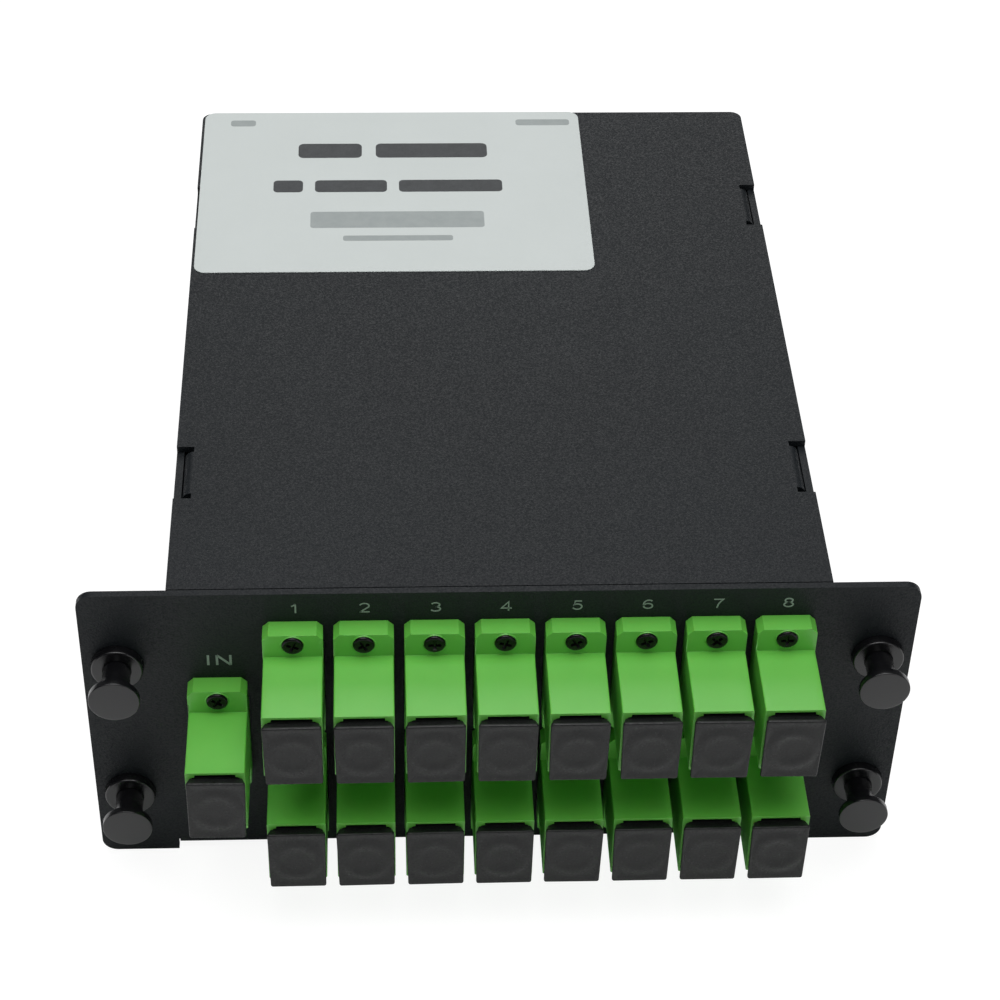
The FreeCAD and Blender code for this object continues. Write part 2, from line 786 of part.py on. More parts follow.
def straight_tube(start, end, diameter):
    """A straight tube between two points, six-sided because the closed case hides it."""
    along = end - start
    across = along.cross(FreeCAD.Vector(0, 0, 1)).normalize() * (diameter / 2)
    rim = []
    for step in range(TUBE_FLATS + 1):
        turn = FreeCAD.Rotation(along, 360.0 / TUBE_FLATS * step)
        rim.append(start + turn.multVec(across))
    return Part.Face(Part.makePolygon(rim)).extrude(along)


def fibre_harness(doc, s, coil):
    """The coil with a loose tube to each rear connector and a lead to each end of the module."""
    middle = floor_level(s).value + s.pad_stock.value + s.module_height.value / 2
    coil_middle = floor_level(s).value + s.coil_height.value / 2
    coil_line = s.coil_front.value + s.coil_width.value / 2
    boot_back = boot_end(s).value - s.sheet.value + s.tube_diameter.value / 2
    tubes = []
    for x, z in port_places(s):
        start = FreeCAD.Vector(x.value, boot_back, z.value)
        end = FreeCAD.Vector(x.value * s.fan_in.value, coil_line, coil_middle)
        tubes.append(straight_tube(start, end, s.tube_diameter.value))
    for sign in (-1, 1):
        end = s.module_length.value / 2 + s.module_boot_length.value
        inside = s.coil_half_width.value - s.coil_width.value / 2
        tubes.append(straight_tube(FreeCAD.Vector(sign * end, s.module_place.value, middle),
                                   FreeCAD.Vector(sign * inside, s.module_place.value, middle),
                                   s.lead_diameter.value))
    harness = doc.addObject("Part::Feature", "fibre_harness")
    harness.Label = "fibre_harness"
    harness.Shape = coil.Shape.fuse(tubes).removeSplitter()
    harness.Placement = FreeCAD.Placement()
    return harness


def saddle(doc, s):
    """Adhesive saddle that holds the coil down at one side."""
    body = new_body(doc, "cable_saddle_01")
    sketch = new_sketch(body, "saddle_profile", "XZ_Plane", -s.saddle_width / 2)
    base = floor_level(s)
    inner = s.coil_width / 2 + s.saddle_play
    outer = inner + s.saddle_stock
    under = base + s.coil_height + s.saddle_play
    outline(sketch, [
        (-outer, base), (-inner, base), (-inner, under), (inner, under), (inner, base),
        (outer, base), (outer, under + s.saddle_stock), (-outer, under + s.saddle_stock),
    ])
    pad(body, "arch", sketch, s.saddle_width)
    return body


def build(doc):
    """Make every piece; gives the objects that are written out."""
    s = SizeSheet(doc, SIZES)
    pieces = [folded_chassis(doc, s), flat_cover(doc, s), cover_label(doc, s)]
    seat = -s.sheet
    front = seat - s.flange_depth - s.barrel_reach
    ports = port_places(s)

    adapter_names, cap_names = port_names("adapter"), port_names("dust_cap")
    adapter = adapter_housing(doc, s, adapter_names[0])
    cap = dust_cap(doc, s, cap_names[0])
    place(adapter, ports[0][0], seat, ports[0][1])
    place(cap, ports[0][0], front, ports[0][1])
    pieces += [adapter, cap]
    for (x, z), adapter_name, cap_name in zip(ports[1:], adapter_names[1:], cap_names[1:]):
        pieces.append(twin(doc, adapter, adapter_name, x, seat, z))
        pieces.append(twin(doc, cap, cap_name, x, front, z))

    screw_seats = [(x, seat - s.flange_depth, z + sign * s.ear_screw_offset)
                   for x, z in ports for sign in (1, -1)]
    port_seats = [(x, seat, z) for x, z in ports]
    pieces.append(group(doc, "adapter_screws", adapter_screw(doc, s), screw_seats))
    pieces.append(group(doc, "sleeve_holders", sleeve_holder(doc, s), port_seats))
    pieces.append(group(doc, "alignment_sleeves", alignment_sleeve(doc, s), port_seats))
    pieces.append(group(doc, "rear_plugs", rear_plug(doc, s), port_seats))
    pieces.append(plug_boots(doc, s))

    corners = fastener_places(s)
    pieces.append(group(doc, "grommets", grommet(doc, s), [(x, 0, z) for x, z in corners]))
    first = plunger(doc, s, "plunger_01")
    place(first, corners[0][0], 0, corners[0][1])
    pieces.append(first)
    for number, (x, z) in enumerate(corners[1:], start=2):
        pieces.append(twin(doc, first, f"plunger_{number:02d}", x, 0, z))

    screws = []
    for name, side in (("left", -1), ("right", 1)):
        for index in (0, 1):
            label = f"cover_screw_{name}_{index + 1}"
            screws.append(cover_screw(doc, s, label, side, s.tab_front + index * s.tab_pitch))
    pieces.append(compound_of(doc, "cover_screws", screws))

    pieces += [splitter_module(doc, s), module_pad(doc, s), module_boots(doc, s)]
    coil = fibre_coil(doc, s)
    doc.recompute()
    pieces.append(fibre_harness(doc, s, coil))
    lane = s.coil_half_width - s.coil_width / 2
    saddle_places = [(sign * lane, s.saddle_front + index * s.saddle_pitch, 0)
                     for sign in (-1, 1) for index in (0, 1)]
    pieces.append(group(doc, "cable_saddles", saddle(doc, s), saddle_places))
    doc.recompute()
    return pieces


def check(doc, pieces):
    """Stop if any object of the document failed or any piece has no valid solid."""
    for obj in doc.Objects:
        if "Invalid" in obj.State or "Error" in obj.State:
            raise RuntimeError(f"{obj.Label} failed: {obj.State}")
    for piece in pieces:
        shape = piece.Shape
        if shape.isNull() or not shape.isValid() or not shape.Solids:
            raise RuntimeError(f"{piece.Label} has no valid solid")


def write(pieces):
    """Write each piece to its own file."""
    os.makedirs("parts", exist_ok=True)
    for piece in pieces:
        piece.Shape.exportStep(f"parts/{piece.Label}.step")
        print(f"{piece.Label}: {len(piece.Shape.Solids)} solids, {piece.Shape.Volume:.1f} mm3")


document = FreeCAD.newDocument("splitter_cassette")
all_pieces = build(document)
check(document, all_pieces)
write(all_pieces)
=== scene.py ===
"""Dresses the packed fibre splitter cassette: its sheet metal, adapters, caps, fasteners, label and light.

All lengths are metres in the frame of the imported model: X to the right seen from the front, Y back into
the rack, Z up, with the origin at the middle of the four fasteners on the rear face of the front panel.
"""

import logging
from dataclasses import dataclass
from enum import Enum
from typing import Any, Sequence

import bmesh
import bpy
import numpy as np
from mathutils import Matrix, Vector

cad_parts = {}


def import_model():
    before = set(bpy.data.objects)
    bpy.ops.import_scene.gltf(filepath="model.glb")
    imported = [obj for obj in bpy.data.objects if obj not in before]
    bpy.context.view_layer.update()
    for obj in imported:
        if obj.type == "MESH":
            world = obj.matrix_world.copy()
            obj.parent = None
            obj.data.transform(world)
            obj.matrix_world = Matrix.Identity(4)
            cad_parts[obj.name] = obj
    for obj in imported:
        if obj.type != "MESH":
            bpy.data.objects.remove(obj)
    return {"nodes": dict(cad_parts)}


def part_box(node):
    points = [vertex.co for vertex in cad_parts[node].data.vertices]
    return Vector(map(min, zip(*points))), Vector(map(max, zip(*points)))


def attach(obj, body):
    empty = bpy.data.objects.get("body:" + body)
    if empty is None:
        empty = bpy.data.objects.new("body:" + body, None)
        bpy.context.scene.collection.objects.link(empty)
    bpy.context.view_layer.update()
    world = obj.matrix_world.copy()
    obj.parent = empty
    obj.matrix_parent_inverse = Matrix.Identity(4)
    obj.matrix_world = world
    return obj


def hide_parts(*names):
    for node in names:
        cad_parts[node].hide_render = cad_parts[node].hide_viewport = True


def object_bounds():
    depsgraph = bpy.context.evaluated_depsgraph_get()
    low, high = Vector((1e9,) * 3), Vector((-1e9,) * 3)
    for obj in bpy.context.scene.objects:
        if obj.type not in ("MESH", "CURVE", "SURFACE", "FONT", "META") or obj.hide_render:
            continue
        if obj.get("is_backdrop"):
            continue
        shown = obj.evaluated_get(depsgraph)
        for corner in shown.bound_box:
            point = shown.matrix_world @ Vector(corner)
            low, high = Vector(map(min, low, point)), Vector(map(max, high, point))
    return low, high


LOG = logging.getLogger("splitter_cassette")
MM = 0.001
ROOT = "root"
PORT_NUMBERS = range(1, 17)
UPPER_ROW = range(1, 9)
PANEL_FACE = -1.2 * MM
BEVEL_ANGLE = np.radians(28.0)
SMOOTH_ANGLE = np.radians(35.0)
FLAT_ANGLE = np.radians(0.6)
BEVEL_FACES = 2
JOIN_DISTANCE = 0.0005 * MM
RANDOM_SEED = 7
Pair = tuple[float, float]
Triple = tuple[float, float, float]


# ---- shapes


@dataclass
class Shell:
    """One closed surface: its points, its four-sided faces and its many-sided end faces."""

    points: np.ndarray
    quads: np.ndarray
    ends: list[list[int]]

    def moved(self, x: float, y: float, z: float) -> "Shell":
        """A copy of the surface shifted by x, y and z."""
        return Shell(self.points + np.array((x, y, z)), self.quads, self.ends)

    def turned(self, axes: Sequence[Sequence[float]]) -> "Shell":
        """A copy whose X, Y and Z run along the unit directions in axes."""
        return Shell(self.points @ np.array(axes, float), self.quads, self.ends)


def loft(stations: np.ndarray, loop: bool = False) -> Shell:
    """Joins closed outlines into one surface.

    Point (i, j) is point j of outline i, and each face joins (i, j), (i, j+1), (i+1, j+1) and (i+1, j),
    with j taken round the outline. A loop also joins the last outline to the first.

    Args:
        stations: outlines as an array of outline by point by coordinate.
        loop: whether the outlines close on themselves, so that the surface has no end faces.

    Returns:
        The closed surface, with a flat face over each end if it isn't a loop.
    """
    count, around = stations.shape[:2]
    rows = np.arange(count if loop else count - 1)
    first = rows[:, None] * around + np.arange(around)[None, :]
    second = rows[:, None] * around + (np.arange(around)[None, :] + 1) % around
    above = ((rows + 1) % count - rows)[:, None] * around
    quads = np.stack((first, second, second + above, first + above), -1).reshape(-1, 4)
    ends = [] if loop else [
        list(range(around))[::-1],
        list(range((count - 1) * around, count * around)),
    ]
    return Shell(stations.reshape(-1, 3), quads, ends)


def corner_turn(steps: int) -> np.ndarray:
    """Unit directions of four quarter circles in so many steps, as corner by step by coordinate."""
    turn = np.linspace(0.0, np.pi / 2, steps + 1)[None, :] + np.arange(4)[:, None] * np.pi / 2
    return np.stack((np.cos(turn), np.sin(turn)), -1)


CORNER_SIGNS = np.array(((1, 1), (-1, 1), (-1, -1), (1, -1)), float)


def upright(flat: np.ndarray, along: Any) -> np.ndarray:
    """Points by X and Z, stood up across the Y axis at the given Y or Ys."""
    return np.stack((flat[..., 0], np.broadcast_to(along, flat.shape[:-1]), flat[..., 1]), -1)


def polar(radius: Any, angle: np.ndarray, along: Any) -> np.ndarray:
    """Points round the Y axis: (radius cos a, Y, radius sin a) for each radius, angle a and Y."""
    radius, angle, along = np.broadcast_arrays(radius, angle, along)
    return np.stack((radius * np.cos(angle), along, radius * np.sin(angle)), -1)


def rectangle_stations(table: Sequence[Sequence[float]], steps: int, between: int = 0) -> np.ndarray:
    """Rounded rectangles facing along Y.

    Each corner point is its corner's centre plus the corner radius times a unit direction, where the
    centre is the half size less the radius. Points between corners divide the straight side evenly.

    Args:
        table: one row for each station: half width, half height, corner radius, Y and rise along Z.
        steps: straight pieces in each corner.
        between: points added along each straight side.

    Returns:
        The stations as an array of station by point by coordinate.
    """
    rows = np.array(table, float)
    half, radius, along, rise = rows[:, :2], rows[:, 2], rows[:, 3], rows[:, 4]
    centres = CORNER_SIGNS[None] * (half - radius[:, None])[:, None]
    flat = centres[:, :, None] + radius[:, None, None, None] * corner_turn(steps)[None]
    share = (np.arange(1, between + 1) / (between + 1))[:, None]
    sides = flat[:, :, -1:] * (1 - share) + np.roll(flat[:, :, :1], -1, axis=1) * share
    flat = np.concatenate((flat, sides), axis=2).reshape(len(rows), -1, 2)
    flat[..., 1] += rise[:, None]
    return upright(flat, along[:, None])


def lathe_stations(profile: Sequence[Sequence[float]], segments: int) -> np.ndarray:
    """Circles about the Y axis in so many straight pieces, one for each profile row of radius and Y."""
    rows = np.array(profile, float)
    return polar(rows[:, :1], np.arange(segments) * 2 * np.pi / segments, rows[:, 1:])


def about_y(turn: float) -> tuple[Triple, ...]:
    """The three axes of a turn about Y, by an angle in radians."""
    c, s = float(np.cos(turn)), float(np.sin(turn))
    return (c, 0, s), (0, 1, 0), (-s, 0, c)


def bow(x: float, y: float, wide: float, high: float, start: float, end: float,
        steps: int = 14) -> list[Pair]:
    """Points on part of an ellipse: its centre plus (wide cos a, high sin a), with a in degrees."""
    turn = np.radians(np.linspace(start, end, steps + 1))
    return list(zip((x + wide * np.cos(turn)).tolist(), (y + high * np.sin(turn)).tolist()))


# ---- finishes


def linear(hex_colour: str) -> tuple[float, ...]:
    """Turns an sRGB hex colour such as #A0B0C0 into linear red, green and blue, and full opacity."""
    srgb = np.array([int(hex_colour[i:i + 2], 16) for i in (1, 3, 5)]) / 255
    return (*np.where(srgb <= 0.04045, srgb / 12.92, ((srgb + 0.055) / 1.055) ** 2.4).tolist(), 1.0)


class NodeGraph:
    """The node tree of a material or world, built up node by node."""

    def __init__(self, owner: Any) -> None:
        """Switches the owner's nodes on and clears them.

        Args:
            owner: the material or world.
        """
        owner.use_nodes = True
        self.tree = owner.node_tree
        self.tree.nodes.clear()

    def add(self, kind: str, inputs: dict[Any, Any], output: Any = 0, **settings: Any) -> Any:
        """Adds one node.

        Args:
            kind: Blender's name of the node type, without its first word.
            inputs: a value or another node's output for each input, by name or number.
            output: which of its outputs is wanted, or None where it has none.
            settings: the node's own options.

        Returns:
            The output.
        """
        node = self.tree.nodes.new("ShaderNode" + kind)
        for name, value in settings.items():
            setattr(node, name, value)
        for name, value in inputs.items():
            if isinstance(value, bpy.types.NodeSocket):
                self.tree.links.new(value, node.inputs[name])
            else:
                node.inputs[name].default_value = value
        return None if output is None else node.outputs[output]

    def mix(self, amount: Any, first: Any, second: Any) -> Any:
        """Mixes two colours, by the share of the second, and gives the output."""
        factor, one, two, result = 0, 6, 7, 2
        return self.add("Mix", {factor: amount, one: first, two: second}, result, data_type="RGBA")

    def remap(self, value: Any, source: Sequence[float], target: Sequence[float]) -> Any:
        """Moves a value from the source range to the target range, held inside it."""
        return self.add("MapRange", {"Value": value, "From Min": source[0], "From Max": source[1],
                                     "To Min": target[0], "To Max": target[1]}, "Result")


def new_object(name: str, data: bpy.types.ID) -> bpy.types.Object:
    """Puts a new object in the scene, at the origin.

    Args:
        name: its name.
        data: the mesh, light or camera that it holds.

    Returns:
        The object.
    """
    made = bpy.data.objects.new(name, data)
    bpy.context.scene.collection.objects.link(made)
    return made


# Detail and roughness of the broad and the fine noise, and the range of each that is used.
CLOUD_NOISE, GRAIN_NOISE = (3.0, 0.6), (2.0, 0.55)
CLOUD_RANGE, GRAIN_RANGE = (0.35, 0.65), (0.3, 0.7)
DUST_STRENGTH, DUST_CLOUD = 0.55, 0.5
SCATTER_DEPTH = 0.8 * MM
SMOOTHEST, ROUGHEST = 0.05, 1.0
METAL_FROM = 0.5


@dataclass(frozen=True)
class Finish:
    """One finish: its colour, the colour it varies to, its gloss and its grain.

    colour drifts towards second in broad patches of size cloud, as far as drift. grain is the size in
    metres of the fine texture and relief its height. speck is how far pale dust spreads round its points,
    which stand speck_size apart.
    """

    name: str
    colour: str
    second: str
    roughness: float
    rough_spread: float = 0.08
    grain: float = 0.3 * MM
    relief: float = 0.01 * MM
    cloud: float = 12 * MM
    drift: float = 0.5
    speck: float = 0.0
    speck_size: float = 0.9 * MM
    speck_colour: str = "#8A8C8B"
    metallic: float = 0.0
    specular: float = 0.5
    subsurface: float = 0.0

    def material(self) -> bpy.types.Material:
        """Makes the finish as a material, once for all its pieces.

        Returns:
            The material.
        """
        found = bpy.data.materials.get(self.name)
        if found is not None:
            return found
        made = bpy.data.materials.new(self.name)
        graph = NodeGraph(made)
        place = graph.add("TexCoord", {}, "Object")
        cloud, grain = (
            graph.add("TexNoise", {"Vector": place, "Scale": 1 / size, "Detail": detail,
                                   "Roughness": roughness}, "Fac")
            for size, (detail, roughness) in ((self.cloud, CLOUD_NOISE), (self.grain, GRAIN_NOISE)))
        drift = graph.remap(cloud, CLOUD_RANGE, (0.0, self.drift))
        colour = graph.mix(drift, linear(self.colour), linear(self.second))
        if self.speck > 0:
            away = graph.add("TexVoronoi", {"Vector": place, "Scale": 1 / self.speck_size}, "Distance",
                             feature="F1")
            dust = graph.remap(away, (self.speck, 0.0), (0.0, DUST_STRENGTH))
            chance = graph.add("Math", {0: cloud, 1: DUST_CLOUD}, operation="GREATER_THAN")
            amount = graph.add("Math", {0: dust, 1: chance}, operation="MULTIPLY")
            colour = graph.mix(amount, colour, linear(self.speck_colour))
        rough = graph.remap(grain, GRAIN_RANGE, (max(self.roughness - self.rough_spread, SMOOTHEST),
                                                 min(self.roughness + self.rough_spread, ROUGHEST)))
        bump = graph.add("Bump", {"Height": grain, "Strength": 1.0, "Distance": self.relief}, "Normal")
        inputs = {"Base Color": colour, "Roughness": rough, "Normal": bump, "Metallic": self.metallic}
        if self.metallic < METAL_FROM:
            inputs["Specular IOR Level"] = self.specular
        if self.subsurface > 0:
            inputs |= {"Subsurface Weight": self.subsurface, "Subsurface Scale": SCATTER_DEPTH}
        graph.add("OutputMaterial", {"Surface": graph.add("BsdfPrincipled", inputs)}, None)
        return made


# Powder coat on steel sheet: a dry leather grain of a third of a millimetre.
POWDER_COAT = Finish(
    "powder_coated_steel", "#14181B", "#111417", 0.5, rough_spread=0.2, grain=0.32 * MM, relief=0.055 * MM,
    cloud=30 * MM, speck=0.018, speck_size=4.2 * MM, specular=0.22)
# Moulded ABS in the green of angled polish: satin, with light carried in its edges.
GREEN_ABS = Finish(
    "moulded_green_abs", "#62B544", "#5CB03F", 0.4, grain=0.22 * MM, relief=0.006 * MM, cloud=6 * MM,
    subsurface=0.1, specular=0.72)
# Soft moulded polyethylene: dull and uneven, with pale scuffs from fingers.
CAP_PE = Finish(
    "moulded_soft_polyethylene", "#131414", "#1A1B1B", 0.42, rough_spread=0.16, grain=0.36 * MM,
    relief=0.02 * MM, cloud=1.6 * MM, speck=0.05, speck_size=1.6 * MM, speck_colour="#6A6B6B",
    specular=0.32)
# Moulded nylon: near black and glossier than the sheet.
BLACK_NYLON = Finish(
    "moulded_black_nylon", "#0C0C0E", "#0F0F11", 0.25, rough_spread=0.02, grain=0.4 * MM, relief=0.001 * MM,
    cloud=8 * MM, speck=0.03, speck_size=1.9 * MM, specular=0.52)
# Black oxide on small screws: dark, with tight highlights.
BLACK_OXIDE = Finish(
    "black_oxide_steel", "#141415", "#1D1C1C", 0.24, grain=0.15 * MM, relief=0.003 * MM, cloud=1.5 * MM,
    metallic=0.6)
# Coated polyester label: off-white and smooth, with a slight mottle.
LABEL_STOCK = Finish(
    "coated_label_stock", "#C2C8C6", "#BEC4C2", 0.5, grain=0.5 * MM, relief=0.002 * MM, cloud=16 * MM,
    specular=0.4)
# Thermal print on the label: soft near-black.
LABEL_PRINT = Finish(
    "thermal_print", "#2B2E30", "#3A3D3F", 0.55, grain=0.25 * MM, relief=0.001 * MM, cloud=2 * MM)
# The same print where fine lines leave half of the label bare.
LABEL_PALE_PRINT = Finish(
    "thermal_print_pale", "#8F9695", "#9AA09F", 0.55, grain=0.25 * MM, relief=0.001 * MM, cloud=2 * MM)
# Screen-printed ink on the panel: grey-green and thin.
PANEL_INK = Finish(
    "screen_print_ink", "#818F85", "#6F7D74", 0.6, grain=0.3 * MM, relief=0.008 * MM, cloud=0.6 * MM)
# Inner parts, seen only inside an uncapped socket.
INNER_ABS = Finish(
    "moulded_inner_abs", "#57A63D", "#4E9A36", 0.5, grain=0.22 * MM, relief=0.004 * MM, cloud=4 * MM)
ZIRCONIA = Finish(
    "ground_zirconia", "#ECEBE4", "#E4E2DA", 0.14, grain=0.2 * MM, relief=0.0005 * MM, cloud=2 * MM)
# What the closed tray holds besides.
GREEN_BOOT = Finish(
    "moulded_green_elastomer", "#57A63D", "#4C9634", 0.66, grain=0.3 * MM, relief=0.006 * MM, cloud=5 * MM)
BRUSHED_STEEL = Finish(
    "brushed_stainless", "#B8BABB", "#A9ABAD", 0.34, grain=0.12 * MM, relief=0.002 * MM, cloud=6 * MM,
    metallic=1.0)
FOAM = Finish(
    "closed_cell_foam", "#D2D2CC", "#C2C2BC", 0.9, grain=0.4 * MM, relief=0.04 * MM, cloud=3 * MM)
BLACK_RUBBER = Finish(
    "moulded_black_rubber", "#1C1C1C", "#242424", 0.7, grain=0.3 * MM, relief=0.006 * MM, cloud=3 * MM)
WHITE_TUBE = Finish(
    "extruded_white_tube", "#E3E2DC", "#D8D7D0", 0.35, grain=0.3 * MM, relief=0.001 * MM, cloud=8 * MM)
NATURAL_NYLON = Finish(
    "moulded_natural_nylon", "#DAD8CC", "#D0CEC2", 0.4, grain=0.25 * MM, relief=0.003 * MM, cloud=5 * MM,
    subsurface=0.15)


# ---- pieces


@dataclass(frozen=True)
class Dressing:
    """What a piece is told: its finish, its slot, which is not used, the nodes it stands for, the body it
    rides on, and the width of its rounded edges, or 0 for none.
    """

    finish: Finish
    slot: str
    nodes: tuple[str, ...] = ()
    body: str = ROOT
    bevel: float = 0.0


def dress(piece: bpy.types.Object, dressing: Dressing) -> None:
    """Gives a finished mesh its material, its soft edges and its place on a body.

    Args:
        piece: the mesh object, at the origin.
        dressing: what it is told.
    """
    piece.data.materials.clear()
    piece.data.materials.append(dressing.finish.material())
    if dressing.bevel > 0:
        edge = piece.modifiers.new("soft_edges", "BEVEL")
        edge.width = dressing.bevel
        edge.segments = BEVEL_FACES
        edge.limit_method = "ANGLE"
        edge.angle_limit = BEVEL_ANGLE
        edge.harden_normals = True
        edge.miter_outer = "MITER_ARC"
    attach(piece, dressing.body)
    if dressing.nodes:
        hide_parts(*dressing.nodes)
    LOG.info("%s: %d faces, on %s", piece.name, len(piece.data.polygons), dressing.body)


def build_piece(name: str, shells: Sequence[Shell], dressing: Dressing) -> None:
    """Puts closed surfaces into one mesh object and dresses it.

    Args:
        name: the piece's name.
        shells: its closed surfaces.
        dressing: what it is told.
    """
    starts = np.cumsum([0] + [len(shell.points) for shell in shells])
    points = np.concatenate([shell.points for shell in shells])
    faces: list[list[int]] = []
    for start, shell in zip(starts, shells):
        faces += (shell.quads + start).tolist()
        faces += [[int(start) + i for i in end] for end in shell.ends]
    mesh = bpy.data.meshes.new(name)
    mesh.from_pydata(points.tolist(), [], faces)
    turn_outwards(mesh)
    dress(new_object(name, mesh), dressing)


def turn_outwards(mesh: bpy.types.Mesh) -> None:
    """Makes every face of a closed mesh point outwards, smooth but for its corners.

    Args:
        mesh: the mesh, changed in place.
    """
    work = bmesh.new()
    work.from_mesh(mesh)
    bmesh.ops.recalc_face_normals(work, faces=work.faces)
    work.to_mesh(mesh)
    work.free()
    mesh.shade_smooth()
    mesh.set_sharp_from_angle(angle=SMOOTH_ANGLE)
    mesh.update()


def merged_copy(node: bpy.types.Object, name: str) -> bpy.types.Object:
    """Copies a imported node, joined up and with its flat faces whole again.

    Args:
        node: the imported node, which stays as it is.
        name: the copy's name.

    Returns:
        The copy, ready for soft edges.
    """
    work = bmesh.new()
    work.from_mesh(node.data)
    bmesh.ops.remove_doubles(work, verts=work.verts, dist=JOIN_DISTANCE)
    bmesh.ops.dissolve_limit(work, angle_limit=FLAT_ANGLE, verts=work.verts, edges=work.edges)
    work.verts.index_update()
    mesh = bpy.data.meshes.new(name)
    mesh.from_pydata([tuple(vertex.co) for vertex in work.verts], [],
                     [[vertex.index for vertex in face.verts] for face in work.faces])
    work.free()
    mesh.shade_smooth()
    mesh.set_sharp_from_angle(angle=SMOOTH_ANGLE)
    return new_object(name, mesh)


@dataclass
class Packed:
    """What is built on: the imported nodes, the X and Z of each port, and the random draws."""

    nodes: dict[str, bpy.types.Object]
    ports: dict[str, Pair]
    draw: np.random.Generator


@dataclass
class Part:
    """One kind of piece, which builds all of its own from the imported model."""

    packed: Packed

    def drawn(self, low: float, high: float) -> float:
        """The next random number between low and high."""
        return float(self.packed.draw.uniform(low, high))


@dataclass
class SheetMetal(Part):
    """The folded tray with its front panel, and the cover, each one coated sheet."""

    edge: float = 0.16 * MM

    def build(self) -> None:
        """Makes both sheets with the soft edges that powder coat leaves."""
        for node in ("chassis", "cover"):
            dress(merged_copy(self.packed.nodes[node], f"{node}_sheet"),
                  Dressing(POWDER_COAT, "coated_steel", (node,), bevel=self.edge))


# Printed fields in millimetres: left and right, from the label's rear edge to the field, its depth, and its
# corner radius as a share of the depth.
DARK_FIELDS = (
    (-33.0, -21.2, 10.6, 4.7, 0.22), (-18.6, 2.2, 10.6, 4.7, 0.22), (-37.4, -32.0, 22.6, 3.8, 0.22),
    (-29.8, -16.6, 22.6, 3.8, 0.22), (-14.4, 4.6, 22.6, 3.8, 0.22))
PALE_FIELDS = ((-30.5, 0.9, 32.6, 5.0, 0.12), (-24.6, -4.9, 40.0, 1.6, 0.3),
               (-45.9, -41.2, 2.6, 2.0, 0.3), (8.0, 18.2, 2.6, 2.0, 0.3))


@dataclass
class CoverLabel(Part):
    """The label stuck on the cover, with plain fields in place of its print."""

    corner: float = 2.0 * MM
    corner_steps: int = 8
    edge: float = 0.03 * MM
    ink: float = 0.012 * MM
    ink_corner_steps: int = 4

    def plate(self, low: Sequence[float], high: Sequence[float], rows: Sequence[Sequence[float]],
              steps: int) -> Shell:
        """A thin rounded rectangle lying on the cover.

        Args:
            low, high: its corners in X and Y, and the height that it lies at.
            rows: an inset, a corner radius and a height for each outline.
            steps: straight pieces in each corner.

        Returns:
            The plate as a closed surface.
        """
        half_x, half_y = (high[0] - low[0]) / 2, (high[1] - low[1]) / 2
        table = [(half_x - inset, half_y - inset, corner, rise, 0.0) for inset, corner, rise in rows]
        lying = rectangle_stations(table, steps)[..., (0, 2, 1)]
        return loft(lying).moved((low[0] + high[0]) / 2, (low[1] + high[1]) / 2, low[2])

    def build(self) -> None:
        """Makes the label's sheet from its node's box, and its print."""
        low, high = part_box("product_label")
        stock, corner, edge = high.z - low.z, self.corner, self.edge
        sheet = self.plate(low, high, ((0.0, corner, 0.0), (0.0, corner, stock - edge),
                                       (edge, corner - edge, stock)), self.corner_steps)
        build_piece("label_sheet", [sheet], Dressing(LABEL_STOCK, "label_stock", ("product_label",)))
        for name, fields, finish in (("label_print", DARK_FIELDS, LABEL_PRINT),
                                     ("label_fields", PALE_FIELDS, LABEL_PALE_PRINT)):
            shells = []
            for left, right, behind, deep, share in fields:
                corner = deep * share * MM
                shells.append(self.plate(
                    (left * MM, high.y - (behind + deep) * MM, high.z), (right * MM, high.y - behind * MM),
                    ((0.0, corner, 0.0), (0.0, corner, self.ink)), self.ink_corner_steps))
            build_piece(name, shells, Dressing(finish, "label_stock"))


# Each mark's strokes, in a cell one unit high: the middle line that the pen follows.
STROKES: dict[str, list[list[Pair]]] = {
    "1": [[(0.10, 0.74), (0.24, 0.83), (0.36, 0.98)], [(0.36, 1.0), (0.36, 0.0)]],
    "2": [bow(0.33, 0.71, 0.29, 0.27, 165, -32) + [(0.05, 0.03)], [(0.02, 0.045), (0.66, 0.045)]],
    "3": [bow(0.32, 0.74, 0.26, 0.225, 160, -90), bow(0.32, 0.275, 0.30, 0.24, 90, -160)],
    "4": [[(0.48, 0.0), (0.48, 0.98), (0.03, 0.27), (0.68, 0.27)]],
    "5": [[(0.60, 0.955), (0.18, 0.955), (0.10, 0.50)] + bow(0.32, 0.335, 0.29, 0.30, 138, -158)],
    "6": [bow(0.34, 0.31, 0.28, 0.27, 90, 450, 26), bow(0.38, 0.50, 0.33, 0.46, 52, 205, 18)],
    "7": [[(0.04, 0.955), (0.64, 0.955), (0.48, 0.72), (0.34, 0.42), (0.26, 0.0)]],
    "8": [bow(0.34, 0.745, 0.24, 0.215, 90, 450, 26), bow(0.34, 0.28, 0.29, 0.24, 90, 450, 26)],
    "I": [[(0.08, 0.0), (0.08, 1.0)]],
    "N": [[(0.0, 0.0), (0.0, 1.0)], [(0.0, 0.99), (0.76, 0.01)], [(0.76, 0.0), (0.76, 1.0)]],
}


@dataclass(frozen=True)
class Lettering:
    """The height of letters, their foot's height, their shift from the port, and their pen in units of the
    letters' height.
    """

    height: float
    foot: float
    shift: float
    pen: float


